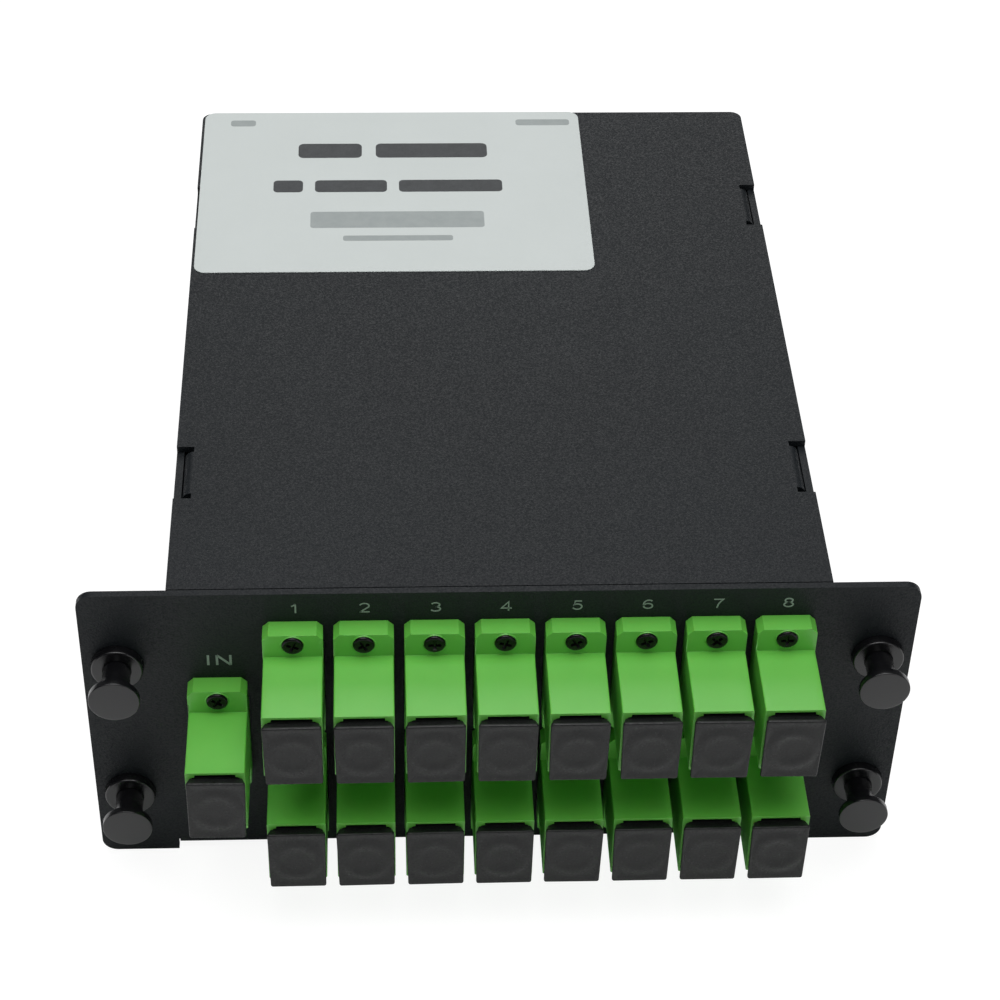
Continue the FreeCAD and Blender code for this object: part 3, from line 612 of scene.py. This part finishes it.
@dataclass
class PanelLegend(Part):
    """The port numbers and the input mark, screen-printed on the front panel."""

    numbers: Lettering = Lettering(1.9 * MM, 25.02 * MM, 0.2 * MM, 0.13)
    input: Lettering = Lettering(2.15 * MM, 14.02 * MM, 0.5 * MM, 0.175)
    ink: float = 0.02 * MM
    lift: float = 0.002 * MM
    stretch: float = 1.28
    gap: float = 0.5
    sharpest: float = 0.5

    def stroke(self, line: Sequence[Pair], style: Lettering) -> Shell:
        """Makes one pen stroke: a flat bar carried along a line, as wide as the pen.

        Each station stands across the line at one of its points, on the bisector of the two runs that
        meet there, and its four corners are half a pen to each side, at the ink's back and front.

        Args:
            line: the points of the stroke's middle, in units of the letters' height.
            style: its lettering.

        Returns:
            The stroke as a closed surface, standing at the origin.
        """
        points = np.array(line) * (style.height * self.stretch, style.height)
        run = np.diff(points, axis=0)
        run /= np.linalg.norm(run, axis=1)[:, None]
        before, after = np.vstack((run[:1], run)), np.vstack((run, run[-1:]))
        middle = before + after
        middle /= np.linalg.norm(middle, axis=1)[:, None]
        across = np.stack((-middle[:, 1], middle[:, 0]), -1)
        bend = np.clip((middle * after).sum(1), self.sharpest, 1.0)
        across *= (style.pen * style.height / 2 / bend)[:, None]
        corners = [upright(points + side * across, depth) for side, depth in (
            (-1, 0.0), (1, 0.0), (1, -self.ink), (-1, -self.ink))]
        return loft(np.stack(corners, 1))

    def mark(self, name: str, letters: str, port: str, style: Lettering) -> None:
        """Prints one mark over its port.

        Args:
            name: the piece's name.
            letters: the mark.
            port: name of the port that it stands over.
            style: its lettering.
        """
        lines, start = [], 0.0
        for letter in letters:
            strokes = STROKES[letter]
            lines += [[(px + start, py) for px, py in line] for line in strokes]
            start += max(px for line in strokes for px, _ in line) + self.gap
        reach = [px for line in lines for px, _ in line]
        x = self.packed.ports[port][0] + style.shift
        shift = x - (min(reach) + max(reach)) / 2 * style.height * self.stretch
        shells = [self.stroke(line, style).moved(shift, PANEL_FACE + self.lift, style.foot) for line in lines]
        build_piece(name, shells, Dressing(PANEL_INK, "coated_steel"))

    def build(self) -> None:
        """Prints a number over each upper port and the input mark over its port."""
        for number in UPPER_ROW:
            self.mark(f"legend_{number}", str(number), f"{number:02d}", self.numbers)
        self.mark("legend_input", "IN", "in", self.input)


class Corner(Enum):
    """How the corners of an outline are cut."""

    ROUND = "round"
    BEVEL = "bevel"


@dataclass
class FibreAdapter(Part):
    """A flanged square adapter: one moulding with a socket through it and a key slot in its upper wall.

    The flange, barrel and socket each have a half width, a half height, and a corner's radius or bevel.
    """

    seat: float = PANEL_FACE
    flange: tuple[Pair, float] = ((4.65 * MM, 10.9 * MM), 0.95 * MM)
    flange_depth: float = 3.2 * MM
    barrel: tuple[Pair, float] = ((4.6 * MM, 6.4 * MM), 0.22 * MM)
    reach: float = 12.9 * MM
    socket: tuple[Pair, float] = ((3.95 * MM, 5.45 * MM), 0.75 * MM)
    key_half: float = 3.15 * MM
    key_rise: float = 0.5 * MM
    key_spread: float = 0.2 * MM
    screw_offset: float = 8.9 * MM
    lip_inner: float = 1.7 * MM
    lip_outer: float = 1.95 * MM
    lip_high: float = 0.14 * MM
    soft: float = 0.14 * MM
    steps: int = 4

    def ring(self, half: Pair, corner: float, y: float, style: Corner = Corner.ROUND,
             key: bool = False) -> np.ndarray:
        """One outline of the adapter, with the key slot's four points in its upper side.

        Args:
            half: half width and half height.
            corner: radius or bevel of its corners.
            y: where it stands.
            style: whether the corners are round or bevels.
            key: whether the upper side rises into the key slot.

        Returns:
            The outline as an array of point by coordinate.
        """
        turn = corner_turn(self.steps)
        if style is Corner.BEVEL:
            share = np.linspace(0, 1, self.steps + 1)[None, :, None]
            turn = turn[:, :1] * (1 - share) + turn[:, -1:] * share
        centres = CORNER_SIGNS * (np.array(half) - corner)
        corners = centres[:, None] + corner * turn
        rise = self.key_rise if key else 0.0
        spread = 0.0 if key else self.key_spread
        x, top = self.key_half, half[1]
        slot = np.array(((x + spread, top), (x, top + rise), (-x, top + rise), (-x - spread, top)))
        return upright(np.concatenate((corners[0], slot, corners[1], corners[2], corners[3])), y)

    def shell(self) -> Shell:
        """Makes the moulding: outside from back to front, then the socket from front to back.

        Returns:
            The moulding, standing at the origin.
        """
        seat, face = self.seat, self.seat - self.flange_depth
        back, front = seat + self.reach, face - self.reach
        rings = [self.ring(*self.barrel, y) for y in (back, seat)]
        rings += [self.ring(*self.flange, y, Corner.BEVEL) for y in (seat, face)]
        rings += [self.ring(*self.barrel, y) for y in (face, front)]
        rings += [self.ring(*self.socket, y, key=True) for y in (front, back)]
        return loft(np.stack(rings), loop=True)

    def screw_lip(self) -> Shell:
        """Makes the raised lip round a screw: a low ring turned about the Y axis.

        Returns:
            The lip on the flange's face, in the middle of the adapter.
        """
        face, high = self.seat - self.flange_depth, self.lip_high
        inner, outer, root = self.lip_inner, self.lip_outer, face + 0.1 * MM
        return loft(lathe_stations([
            (inner, root), (inner, face - high * 0.7), (inner + 0.06 * MM, face - high),
            (outer - 0.1 * MM, face - high * 0.8), (outer, root)], 40), loop=True)

    def build(self) -> None:
        """Makes one adapter at each port, with a lip round each of its screws."""
        shell, lip = self.shell(), self.screw_lip()
        for name, (x, z) in self.packed.ports.items():
            parts = [shell.moved(x, 0, z)]
            parts += [lip.moved(x, 0, z + side * self.screw_offset) for side in (1, -1)]
            build_piece(f"adapter_moulding_{name}", parts,
                        Dressing(GREEN_ABS, "green_plastic", (f"adapter_{name}",), bevel=self.soft))


@dataclass
class CrossScrew:
    """A small screw head with a cross recess, facing along -Y.

    Each row of crown gives a share of the head's radius and of its height, and each row of recess a share of
    the cross's size and of its depth.
    """

    radius: float = 1.65 * MM
    proud: float = 0.45 * MM
    arm: float = 1.0 * MM
    arm_half: float = 0.26 * MM
    depth: float = 0.6 * MM
    turns: int = 48
    first_turn: float = 0.02
    crown: tuple[Pair, ...] = ((1.0, 0.0), (1.0, 0.35), (0.97, 0.66), (0.88, 0.9), (0.76, 1.0))
    recess: tuple[Pair, ...] = ((1.0, 0.0), (0.72, 0.6), (0.4, 1.0))

    def angles(self) -> np.ndarray:
        """Spreads directions round the head, with the recess's own corners among them.

        Returns:
            The angles in radians, in order.
        """
        slim = np.arctan2(self.arm_half, self.arm)
        quarter = np.arange(4) * np.pi / 2
        corners = np.concatenate([quarter + slim, quarter - slim, quarter + np.pi / 4])
        even = np.arange(self.turns) * 2 * np.pi / self.turns + self.first_turn
        return np.unique(np.round(np.concatenate((corners % (2 * np.pi), even)), 5))

    def cross(self, scale: float, y: float) -> np.ndarray:
        """The recess's outline: in each direction, as far as the longer of two crossed bars reaches.

        Args:
            scale: its share of the recess's full size.
            y: where it stands.

        Returns:
            The outline as an array of point by coordinate.
        """
        angle = self.angles()
        c, s = np.abs(np.cos(angle)) + 1e-9, np.abs(np.sin(angle)) + 1e-9
        arm, half = self.arm * scale, self.arm_half * scale
        reach = np.maximum(np.minimum(arm / c, half / s), np.minimum(half / c, arm / s))
        return polar(reach, angle, y)

    def shell(self, turn: float) -> Shell:
        """Makes the head, seated at y = 0 and turned about its axis.

        Args:
            turn: angle in radians.

        Returns:
            The head as a closed surface.
        """
        angle, top = self.angles(), -self.proud
        rows = [polar(self.radius * wide, angle, top * high) for wide, high in self.crown]
        rows += [self.cross(scale, top + self.depth * deep) for scale, deep in self.recess]
        return loft(np.stack(rows)).turned(about_y(turn))


@dataclass
class AdapterScrews(Part):
    """The two screws in each adapter's ears."""

    seat: float = -4.42 * MM
    offset: float = 8.9 * MM

    def build(self) -> None:
        """Makes all the heads as one piece, each turned as it happened to stop."""
        head = CrossScrew()
        shells = []
        for x, z in self.packed.ports.values():
            for side in (1, -1):
                turn = self.drawn(0, np.pi / 2)
                shells.append(head.shell(turn).moved(x, self.seat, z + side * self.offset))
        build_piece("adapter_screw_heads", shells,
                    Dressing(BLACK_OXIDE, "black_steel", ("adapter_screws",)))


@dataclass
class CoverScrews(Part):
    """The four screws that hold the cover's tabs through the side walls."""

    head_radius: float = 2.2 * MM
    arm: float = 1.25 * MM
    arm_half: float = 0.34 * MM
    recess: float = 0.8 * MM
    shank: float = 1.2 * MM
    length: float = 3.9 * MM
    point: float = 0.3 * MM
    first_turn: float = 0.4
    turn_step: float = 0.5

    def build(self) -> None:
        """Makes a head and a shank on each side at each tab, from the node's own box."""
        low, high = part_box("cover_screws")
        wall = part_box("cover")[1].x
        head = CrossScrew(radius=self.head_radius, proud=high.x - wall, arm=self.arm,
                          arm_half=self.arm_half, depth=self.recess)
        z = (low.z + high.z) / 2
        fronts = (low.y + head.radius, high.y - head.radius)
        stem = loft(lathe_stations([(self.shank, -0.1 * MM), (self.shank, self.length - self.point),
                                    (self.shank - self.point, self.length)], 32))
        shells = []
        for side in (1.0, -1.0):
            axes = ((0.0, side, 0.0), (-side, 0.0, 0.0), (0.0, 0.0, 1.0))
            for number, y in enumerate(fronts):
                for part in (head.shell(self.first_turn + self.turn_step * number), stem):
                    shells.append(part.turned(axes).moved(side * wall, y, z))
        build_piece("cover_screw_set", shells, Dressing(BLACK_OXIDE, "black_steel", ("cover_screws",)))


@dataclass
class DustCap(Part):
    """A soft push-in cap: a hollow plug, a sloped shoulder and a thin plate with a shallow dimple."""

    mouth: float = -17.3 * MM
    plug_half: Pair = (3.75 * MM, 5.25 * MM)
    plug_corner: float = 0.6 * MM
    plug_depth: float = 8.0 * MM
    plug_soft: float = 0.2 * MM
    wall: float = 0.8 * MM
    hollow_corner: float = 0.3 * MM
    plate_half: Pair = (4.55 * MM, 6.15 * MM)
    plate_corner: float = 0.38 * MM
    taper: float = 0.03
    drop: float = 0.6 * MM
    shoulder: float = 1.1 * MM
    face: float = 1.59 * MM
    lip: float = 0.22 * MM
    ring: float = 3.4 * MM
    ring_high: float = 0.17 * MM
    ring_width: float = 1.1 * MM
    rings: int = 18
    smallest: float = 0.3 * MM
    corner_steps: int = 4
    side_points: int = 7
    play_aside: float = 0.06
    play_line: float = 0.4
    swells: Pair = (0.14, 0.27)
    play_turn: float = 0.016

    def face_stations(self, swell: float) -> np.ndarray:
        """Makes the front face, from the plate's rectangle in to ever smaller circles.

        A soft ring stands out of it: its height at radius r is swell times exp(-((r - ring) / width)^2).

        Args:
            swell: the ring's height.

        Returns:
            The stations as an array of station by point by coordinate.
        """
        inset = self.lip
        edge = (self.plate_half[0] - inset, self.plate_half[1] - inset, self.plate_corner - inset, 0.0, 0.0)
        rim = rectangle_stations([edge], self.corner_steps, self.side_points)
        round_way = polar(1.0, np.arctan2(rim[0, :, 2], rim[0, :, 0]), 0.0)[None]
        wide = self.ring + self.ring_width * 0.8
        blend = np.linspace(0, 1, 6)[:-1, None, None]
        outer = rim * (1 - blend) + round_way * wide * blend
        inner = round_way * np.linspace(wide, self.smallest, self.rings)[:, None, None]
        rows = np.concatenate((outer, inner))
        radius = np.hypot(rows[..., 0], rows[..., 2])
        ring = np.exp(-((radius - self.ring) / self.ring_width) ** 2)
        fade = np.minimum(np.arange(len(rows)) / 3, 1.0)[:, None]
        rows[..., 1] = self.mouth - self.face + (self.ring_high - swell * ring) * fade
        rows[..., 2] -= self.drop
        return rows

    def shell(self, swell: float) -> Shell:
        """Makes the cap as one closed surface, from the hollow's floor round the plug to the face.

        Args:
            swell: height of the ring on the face.

        Returns:
            The cap, standing at the origin.
        """
        (px, pz), (fx, fz) = self.plug_half, self.plate_half
        corner, plate, wall, m = self.plug_corner, self.plate_corner, self.wall, self.mouth
        soft, hollow, end, drop = self.plug_soft, self.hollow_corner, self.mouth + self.plug_depth, self.drop
        rows = [
            # The hollow, from its floor to the plug's end.
            (px - wall, pz - wall, hollow, m + 0.05 * MM, 0.0),
            (px - wall, pz - wall, hollow, end - soft, 0.0),
            (px - wall + soft / 2, pz - wall + soft / 2, hollow + 0.05 * MM, end, 0.0),
            # The plug, back to the socket's mouth.
            (px - soft, pz - soft, corner - soft, end, 0.0),
            (px, pz, corner, end - soft, 0.0),
            (px, pz, corner, m - 0.02 * MM, 0.0),
            # The shoulder, which slopes out to the plate's edge.
            (px + 0.25 * MM, pz - 0.1 * MM, corner, m - 0.05 * MM, -drop * 0.75),
            (fx - 0.36 * MM, fz - 0.3 * MM, plate, m - 0.1 * MM, -drop),
            (fx - 0.06 * MM, fz - 0.05 * MM, plate, m - self.shoulder + 0.08 * MM, -drop),
            (fx, fz, plate, m - self.shoulder - 0.04 * MM, -drop),
        ]
        for turn in np.radians((0.0, 25.0, 50.0, 72.0)):
            inset = self.lip * (1 - np.cos(turn))
            rows.append((fx - inset, fz - inset, plate - inset,
                         m - self.face + self.lip * (1 - np.sin(turn)), -drop))
        outlines = rectangle_stations(rows, self.corner_steps, self.side_points)
        stations = np.concatenate((outlines, self.face_stations(swell)))
        ahead = np.clip((m - stations[..., 1]) / self.shoulder, 0, 1)
        stations[..., 0] *= 1 - self.taper * ahead * (0.5 - stations[..., 2] / (2 * fz))
        return loft(stations)

    def seam(self) -> Shell:
        """Makes the parting line: a hair-thin ridge over the shoulder and a little way down the face.

        Its outline is a low roof of five points, carried along the line.

        Returns:
            The ridge, in the middle of the cap.
        """
        top = self.plate_half[1] - self.drop
        y = self.mouth - self.face
        path = np.array(((y + 1.5 * MM, top - 0.3 * MM), (y + 0.62 * MM, top - 0.04 * MM),
                         (y + 0.1 * MM, top - 0.01 * MM), (y + 0.04 * MM, top - 0.2 * MM),
                         (y + 0.1 * MM, top - 1.1 * MM)))
        out = np.array(((0.0, 1.0), (-0.1, 1.0), (-0.7, 0.7), (-1.0, 0.1), (-1.0, 0.0)))
        half, high, deep = 0.05 * MM, 0.03 * MM, 0.1 * MM
        roof = ((-half, -deep), (-half, 0.0), (0.0, high), (half, 0.0), (half, -deep))
        return loft(np.stack([np.column_stack((np.full(len(path), aside), path + out * rise))
                              for aside, rise in roof], 1))

    def build(self) -> None:
        """Makes one cap in each socket, each seated a little differently within its play."""
        seam = self.seam()
        for name, (x, z) in self.packed.ports.items():
            aside = self.drawn(-self.play_aside, self.play_aside) * MM
            line = self.drawn(-self.play_line, self.play_line) * MM
            swell = self.drawn(*self.swells) * MM
            axes = about_y(self.drawn(-self.play_turn, self.play_turn))
            parts = [part.turned(axes).moved(x + aside, 0, z)
                     for part in (self.shell(swell), seam.moved(line, 0, 0))]
            build_piece(f"cap_{name}_moulding", parts,
                        Dressing(CAP_PE, "cap_plastic", (f"dust_cap_{name}",), f"cap_{name}"))


@dataclass
class SocketInsides(Part):
    """What shows in an uncapped socket: the web with its latches, and the ceramic sleeve."""

    soft: float = 0.08 * MM
    sleeve: float = 1.6 * MM
    bore: float = 1.25 * MM
    half_length: float = 5.7 * MM
    middle: float = -2.8 * MM
    lip: float = 0.15 * MM

    def build(self) -> None:
        """Softens the webs' edges, and makes each sleeve a tube with its bore closed behind the middle."""
        dress(merged_copy(self.packed.nodes["sleeve_holders"], "sleeve_holder_set"),
              Dressing(INNER_ABS, "inner_plastic", ("sleeve_holders",), bevel=self.soft))
        end, lip = self.half_length, self.lip
        tube = loft(lathe_stations([
            (self.bore, 0.2 * MM), (self.bore, -end + lip), (self.bore + lip, -end),
            (self.sleeve - lip, -end), (self.sleeve, -end + lip), (self.sleeve, end - lip),
            (self.sleeve - lip, end),
        ], 48))
        shells = [tube.moved(x, self.middle, z) for x, z in self.packed.ports.values()]
        build_piece("ceramic_sleeve_set", shells, Dressing(ZIRCONIA, "ceramic", ("alignment_sleeves",)))


@dataclass
class PushPullFastener(Part):
    """A grommet in the panel and the pin with a knob that spreads its legs when pushed in."""

    half_x: float = 59.5 * MM
    half_z: float = 14.5 * MM
    flange: float = 4.15 * MM
    flange_depth: float = 1.6 * MM
    draft: float = 0.14 * MM
    barrel: float = 3.0 * MM
    bore: float = 2.25 * MM
    barrel_end: float = 4.8 * MM
    legs_start: float = 1.6 * MM
    slot_half: float = 0.4 * MM
    pin: float = 2.2 * MM
    pin_tip: float = 5.0 * MM
    knob: float = 3.95 * MM
    knob_face: float = -9.6 * MM
    knob_depth: float = 1.3 * MM
    segments: int = 72

    def collar(self) -> Shell:
        """Turns the grommet's flange and the whole part of its barrel about the Y axis.

        Returns:
            The collar, standing at the origin.
        """
        face, front, soft = PANEL_FACE - self.flange_depth, self.flange - self.draft, 0.3 * MM
        rows = [
            (self.bore, self.legs_start), (self.bore, face + 0.05 * MM), (self.bore + 0.04 * MM, face),
            (self.bore + 0.5 * MM, face), (front - soft - 0.5 * MM, face),
            *bow(front - soft, face + soft, soft, soft, -90, 0, 8),
            (self.flange, PANEL_FACE - 0.25 * MM), (self.flange - 0.1 * MM, PANEL_FACE),
            (self.barrel, PANEL_FACE), (self.barrel, self.legs_start),
        ]
        return loft(lathe_stations(rows, self.segments), loop=True)

    def leg(self, quarter: int) -> Shell:
        """Makes one leg: a softened outline in radius and depth, carried round a quarter less the slots.

        Args:
            quarter: which of the four.

        Returns:
            The leg as a closed surface.
        """
        start, end, soft = self.legs_start - 0.15 * MM, self.barrel_end, 0.2 * MM
        inner, outer = self.bore + 0.01 * MM, self.barrel - 0.01 * MM
        rows = np.array(((inner, start), (outer, start), (outer, end - 2 * soft), (outer - soft, end),
                         (inner + soft / 2, end), (inner, end - soft)))
        gap = np.arcsin(self.slot_half / rows[:, 0])[None]
        share = np.linspace(0, 1, 13)[:, None]
        angle = quarter * np.pi / 2 + gap + (np.pi / 2 - 2 * gap) * share
        return loft(polar(rows[:, 0], angle, rows[:, 1]))

    def plunger(self) -> Shell:
        """Turns the pin and knob about the Y axis: a flat face, a crisp rim and a straight pin.

        Returns:
            The plunger, standing at the origin.
        """
        face, rim, back = self.knob_face, self.knob, self.knob_face + self.knob_depth
        dome, edge, soft, fillet = 0.09 * MM, 0.15 * MM, 0.15 * MM, 0.26 * MM
        crown = [(r, face + dome * (r / rim) ** 2) for r in np.linspace(0.2 * MM, rim - 2 * edge, 7)]
        rows = [
            *crown, *bow(rim - edge, face + dome + edge, edge, edge, -80, 0, 4),
            *bow(rim - soft, back - soft, soft, soft, 0, 90, 4),
            *bow(self.pin + fillet, back + fillet, fillet, fillet, 270, 180, 5),
            (self.pin, self.pin_tip - 0.8 * MM), (self.pin - 0.5 * MM, self.pin_tip),
        ]
        return loft(lathe_stations(rows, self.segments))

    def build(self) -> None:
        """Makes the four grommets as one piece and each plunger on its own body."""
        places = [(side * self.half_x, level * self.half_z) for level in (1, -1) for side in (-1, 1)]
        forms = [self.collar(), *(self.leg(quarter) for quarter in range(4))]
        grommets = [form.moved(x, 0, z) for x, z in places for form in forms]
        build_piece("grommet_set", grommets, Dressing(BLACK_NYLON, "black_nylon", ("grommets",)))
        pin = self.plunger()
        for number, (x, z) in enumerate(places, start=1):
            build_piece(f"knob_and_pin_{number:02d}", [pin.moved(x, 0, z)],
                        Dressing(BLACK_NYLON, "black_nylon", (f"plunger_{number:02d}",), f"pin_{number:02d}"))


@dataclass
class ClosedInsides(Part):
    """What the closed tray holds, finished plainly: connectors, boots, splitter module and fibre."""

    soft: float = 0.12 * MM

    def build(self) -> None:
        """Softens and finishes each hidden node."""
        for node, finish, slot in (
            ("rear_plugs", GREEN_ABS, "green_plastic"), ("plug_boots", GREEN_BOOT, "green_rubber"),
            ("splitter_module", BRUSHED_STEEL, "module_steel"), ("module_pad", FOAM, "foam"),
            ("module_boots", BLACK_RUBBER, "black_rubber"), ("fibre_harness", WHITE_TUBE, "white_tube"),
            ("cable_saddles", NATURAL_NYLON, "clear_nylon"),
        ):
            bevel = 0.0 if node == "fibre_harness" else self.soft
            dress(merged_copy(self.packed.nodes[node], f"{node}_inside"),
                  Dressing(finish, slot, (node,), bevel=bevel))


# ---- studio


@dataclass(frozen=True)
class Softbox:
    """One square area light: its name, where it hangs, the point it faces, its side and its power."""

    name: str
    place: Triple
    target: Triple
    size: float
    watts: float

    def hang(self) -> None:
        """Hangs the light in the scene."""
        data = bpy.data.lights.new(self.name, "AREA")
        data.shape, data.size, data.energy = "SQUARE", self.size, self.watts
        lamp = new_object(self.name, data)
        lamp.location = self.place
        lamp.rotation_mode = "QUATERNION"
        lamp.rotation_quaternion = (Vector(self.target) - Vector(self.place)).to_track_quat("-Z", "Y")


@dataclass
class Studio:
    """The pale floor at the given level, the soft light and the camera."""

    level: float
    eye: Triple = (-18.27 * MM, -289.54 * MM, 303.01 * MM)
    ahead: Triple = (0.04555, 0.74793, -0.66221)
    right: Triple = (0.99891, -0.04118, 0.02220)
    lens: float = 93.76
    sensor: float = 36.0
    floor_half: float = 3.0
    floor_glow: float = 1.13
    floor_share: float = 0.8
    white: str = "#FFFFFF"
    room: str = "#565759"
    softboxes: tuple[Softbox, ...] = (
        Softbox("overhead_softbox", (-0.05, -0.04, 1.15), (0.0, 0.0, 0.0), 1.1, 14.2),
        Softbox("rear_softbox", (0.1, 1.85, 1.3), (0.0, 0.05, 0.0), 1.2, 9.0),
        Softbox("front_softbox", (0.95, -1.15, 0.5), (0.0, 0.0, 0.0), 0.7, 2.4),
    )

    def camera(self) -> None:
        """Sets the camera where it sees the cassette from the front and above."""
        data = bpy.data.cameras.new("studio_camera")
        data.lens, data.sensor_width = self.lens, self.sensor
        data.clip_start, data.clip_end = 0.01, 20.0
        camera = new_object("studio_camera", data)
        ahead = Vector(self.ahead).normalized()
        right = (Vector(self.right) - ahead * Vector(self.right).dot(ahead)).normalized()
        up = right.cross(ahead)
        turn = Matrix((right, up, -ahead)).transposed().to_4x4()
        camera.matrix_world = Matrix.Translation(self.eye) @ turn
        bpy.context.scene.camera = camera

    def floor(self) -> None:
        """Lays a pale floor that keeps a faint shadow."""
        half, level = self.floor_half, self.level
        mesh = bpy.data.meshes.new("studio_floor")
        mesh.from_pydata([(-half, -half, level), (half, -half, level), (half, half, level),
                          (-half, half, level)], [], [(0, 1, 2, 3)])
        material = bpy.data.materials.new("pale_floor")
        graph = NodeGraph(material)
        seen = graph.add("LightPath", {}, "Is Camera Ray")
        share = graph.add("Math", {0: seen, 1: self.floor_share}, operation="MULTIPLY")
        matt = graph.add("BsdfDiffuse", {"Color": linear(self.white)})
        glow = graph.add("Emission", {"Color": linear(self.white), "Strength": self.floor_glow})
        mixed = graph.add("MixShader", {0: share, 1: matt, 2: glow})
        graph.add("OutputMaterial", {"Surface": mixed}, None)
        mesh.materials.append(material)
        new_object("studio_floor", mesh)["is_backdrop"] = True

    def sky(self) -> None:
        """Fills the room with even light, and shows white behind the floor."""
        world = bpy.data.worlds.new("studio_room")
        bpy.context.scene.world = world
        graph = NodeGraph(world)
        seen = graph.add("LightPath", {}, "Is Camera Ray")
        colour = graph.mix(seen, linear(self.room), linear(self.white))
        room = graph.add("Background", {"Color": colour, "Strength": 1.0})
        graph.add("OutputWorld", {"Surface": room}, None)

    def build(self) -> None:
        """Sets up the whole studio."""
        bpy.context.scene.view_settings.view_transform = "Standard"
        self.camera()
        self.floor()
        self.sky()
        for softbox in self.softboxes:
            softbox.hang()


def port_places() -> dict[str, Pair]:
    """Reads the middle of each port across the panel from its adapter's box.

    Returns:
        The X and Z of each port by name.
    """
    places = {}
    for name in ("in", *(f"{number:02d}" for number in PORT_NUMBERS)):
        low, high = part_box(f"adapter_{name}")
        places[name] = ((low.x + high.x) / 2, (low.z + high.z) / 2)
    return places


def main() -> None:
    """Builds the dressed cassette and its studio, in order."""
    logging.basicConfig(level=logging.INFO, format="%(name)s: %(message)s")
    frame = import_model()
    packed = [list(corner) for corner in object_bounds()]
    model = Packed(frame["nodes"], port_places(), np.random.default_rng(RANDOM_SEED))
    for kind in (SheetMetal, CoverLabel, PanelLegend, FibreAdapter, AdapterScrews, CoverScrews, DustCap,
                 SocketInsides, PushPullFastener, ClosedInsides):
        kind(model).build()
    Studio(packed[0][2]).build()
    bpy.context.view_layer.update()


if __name__ == "__main__":
    main()
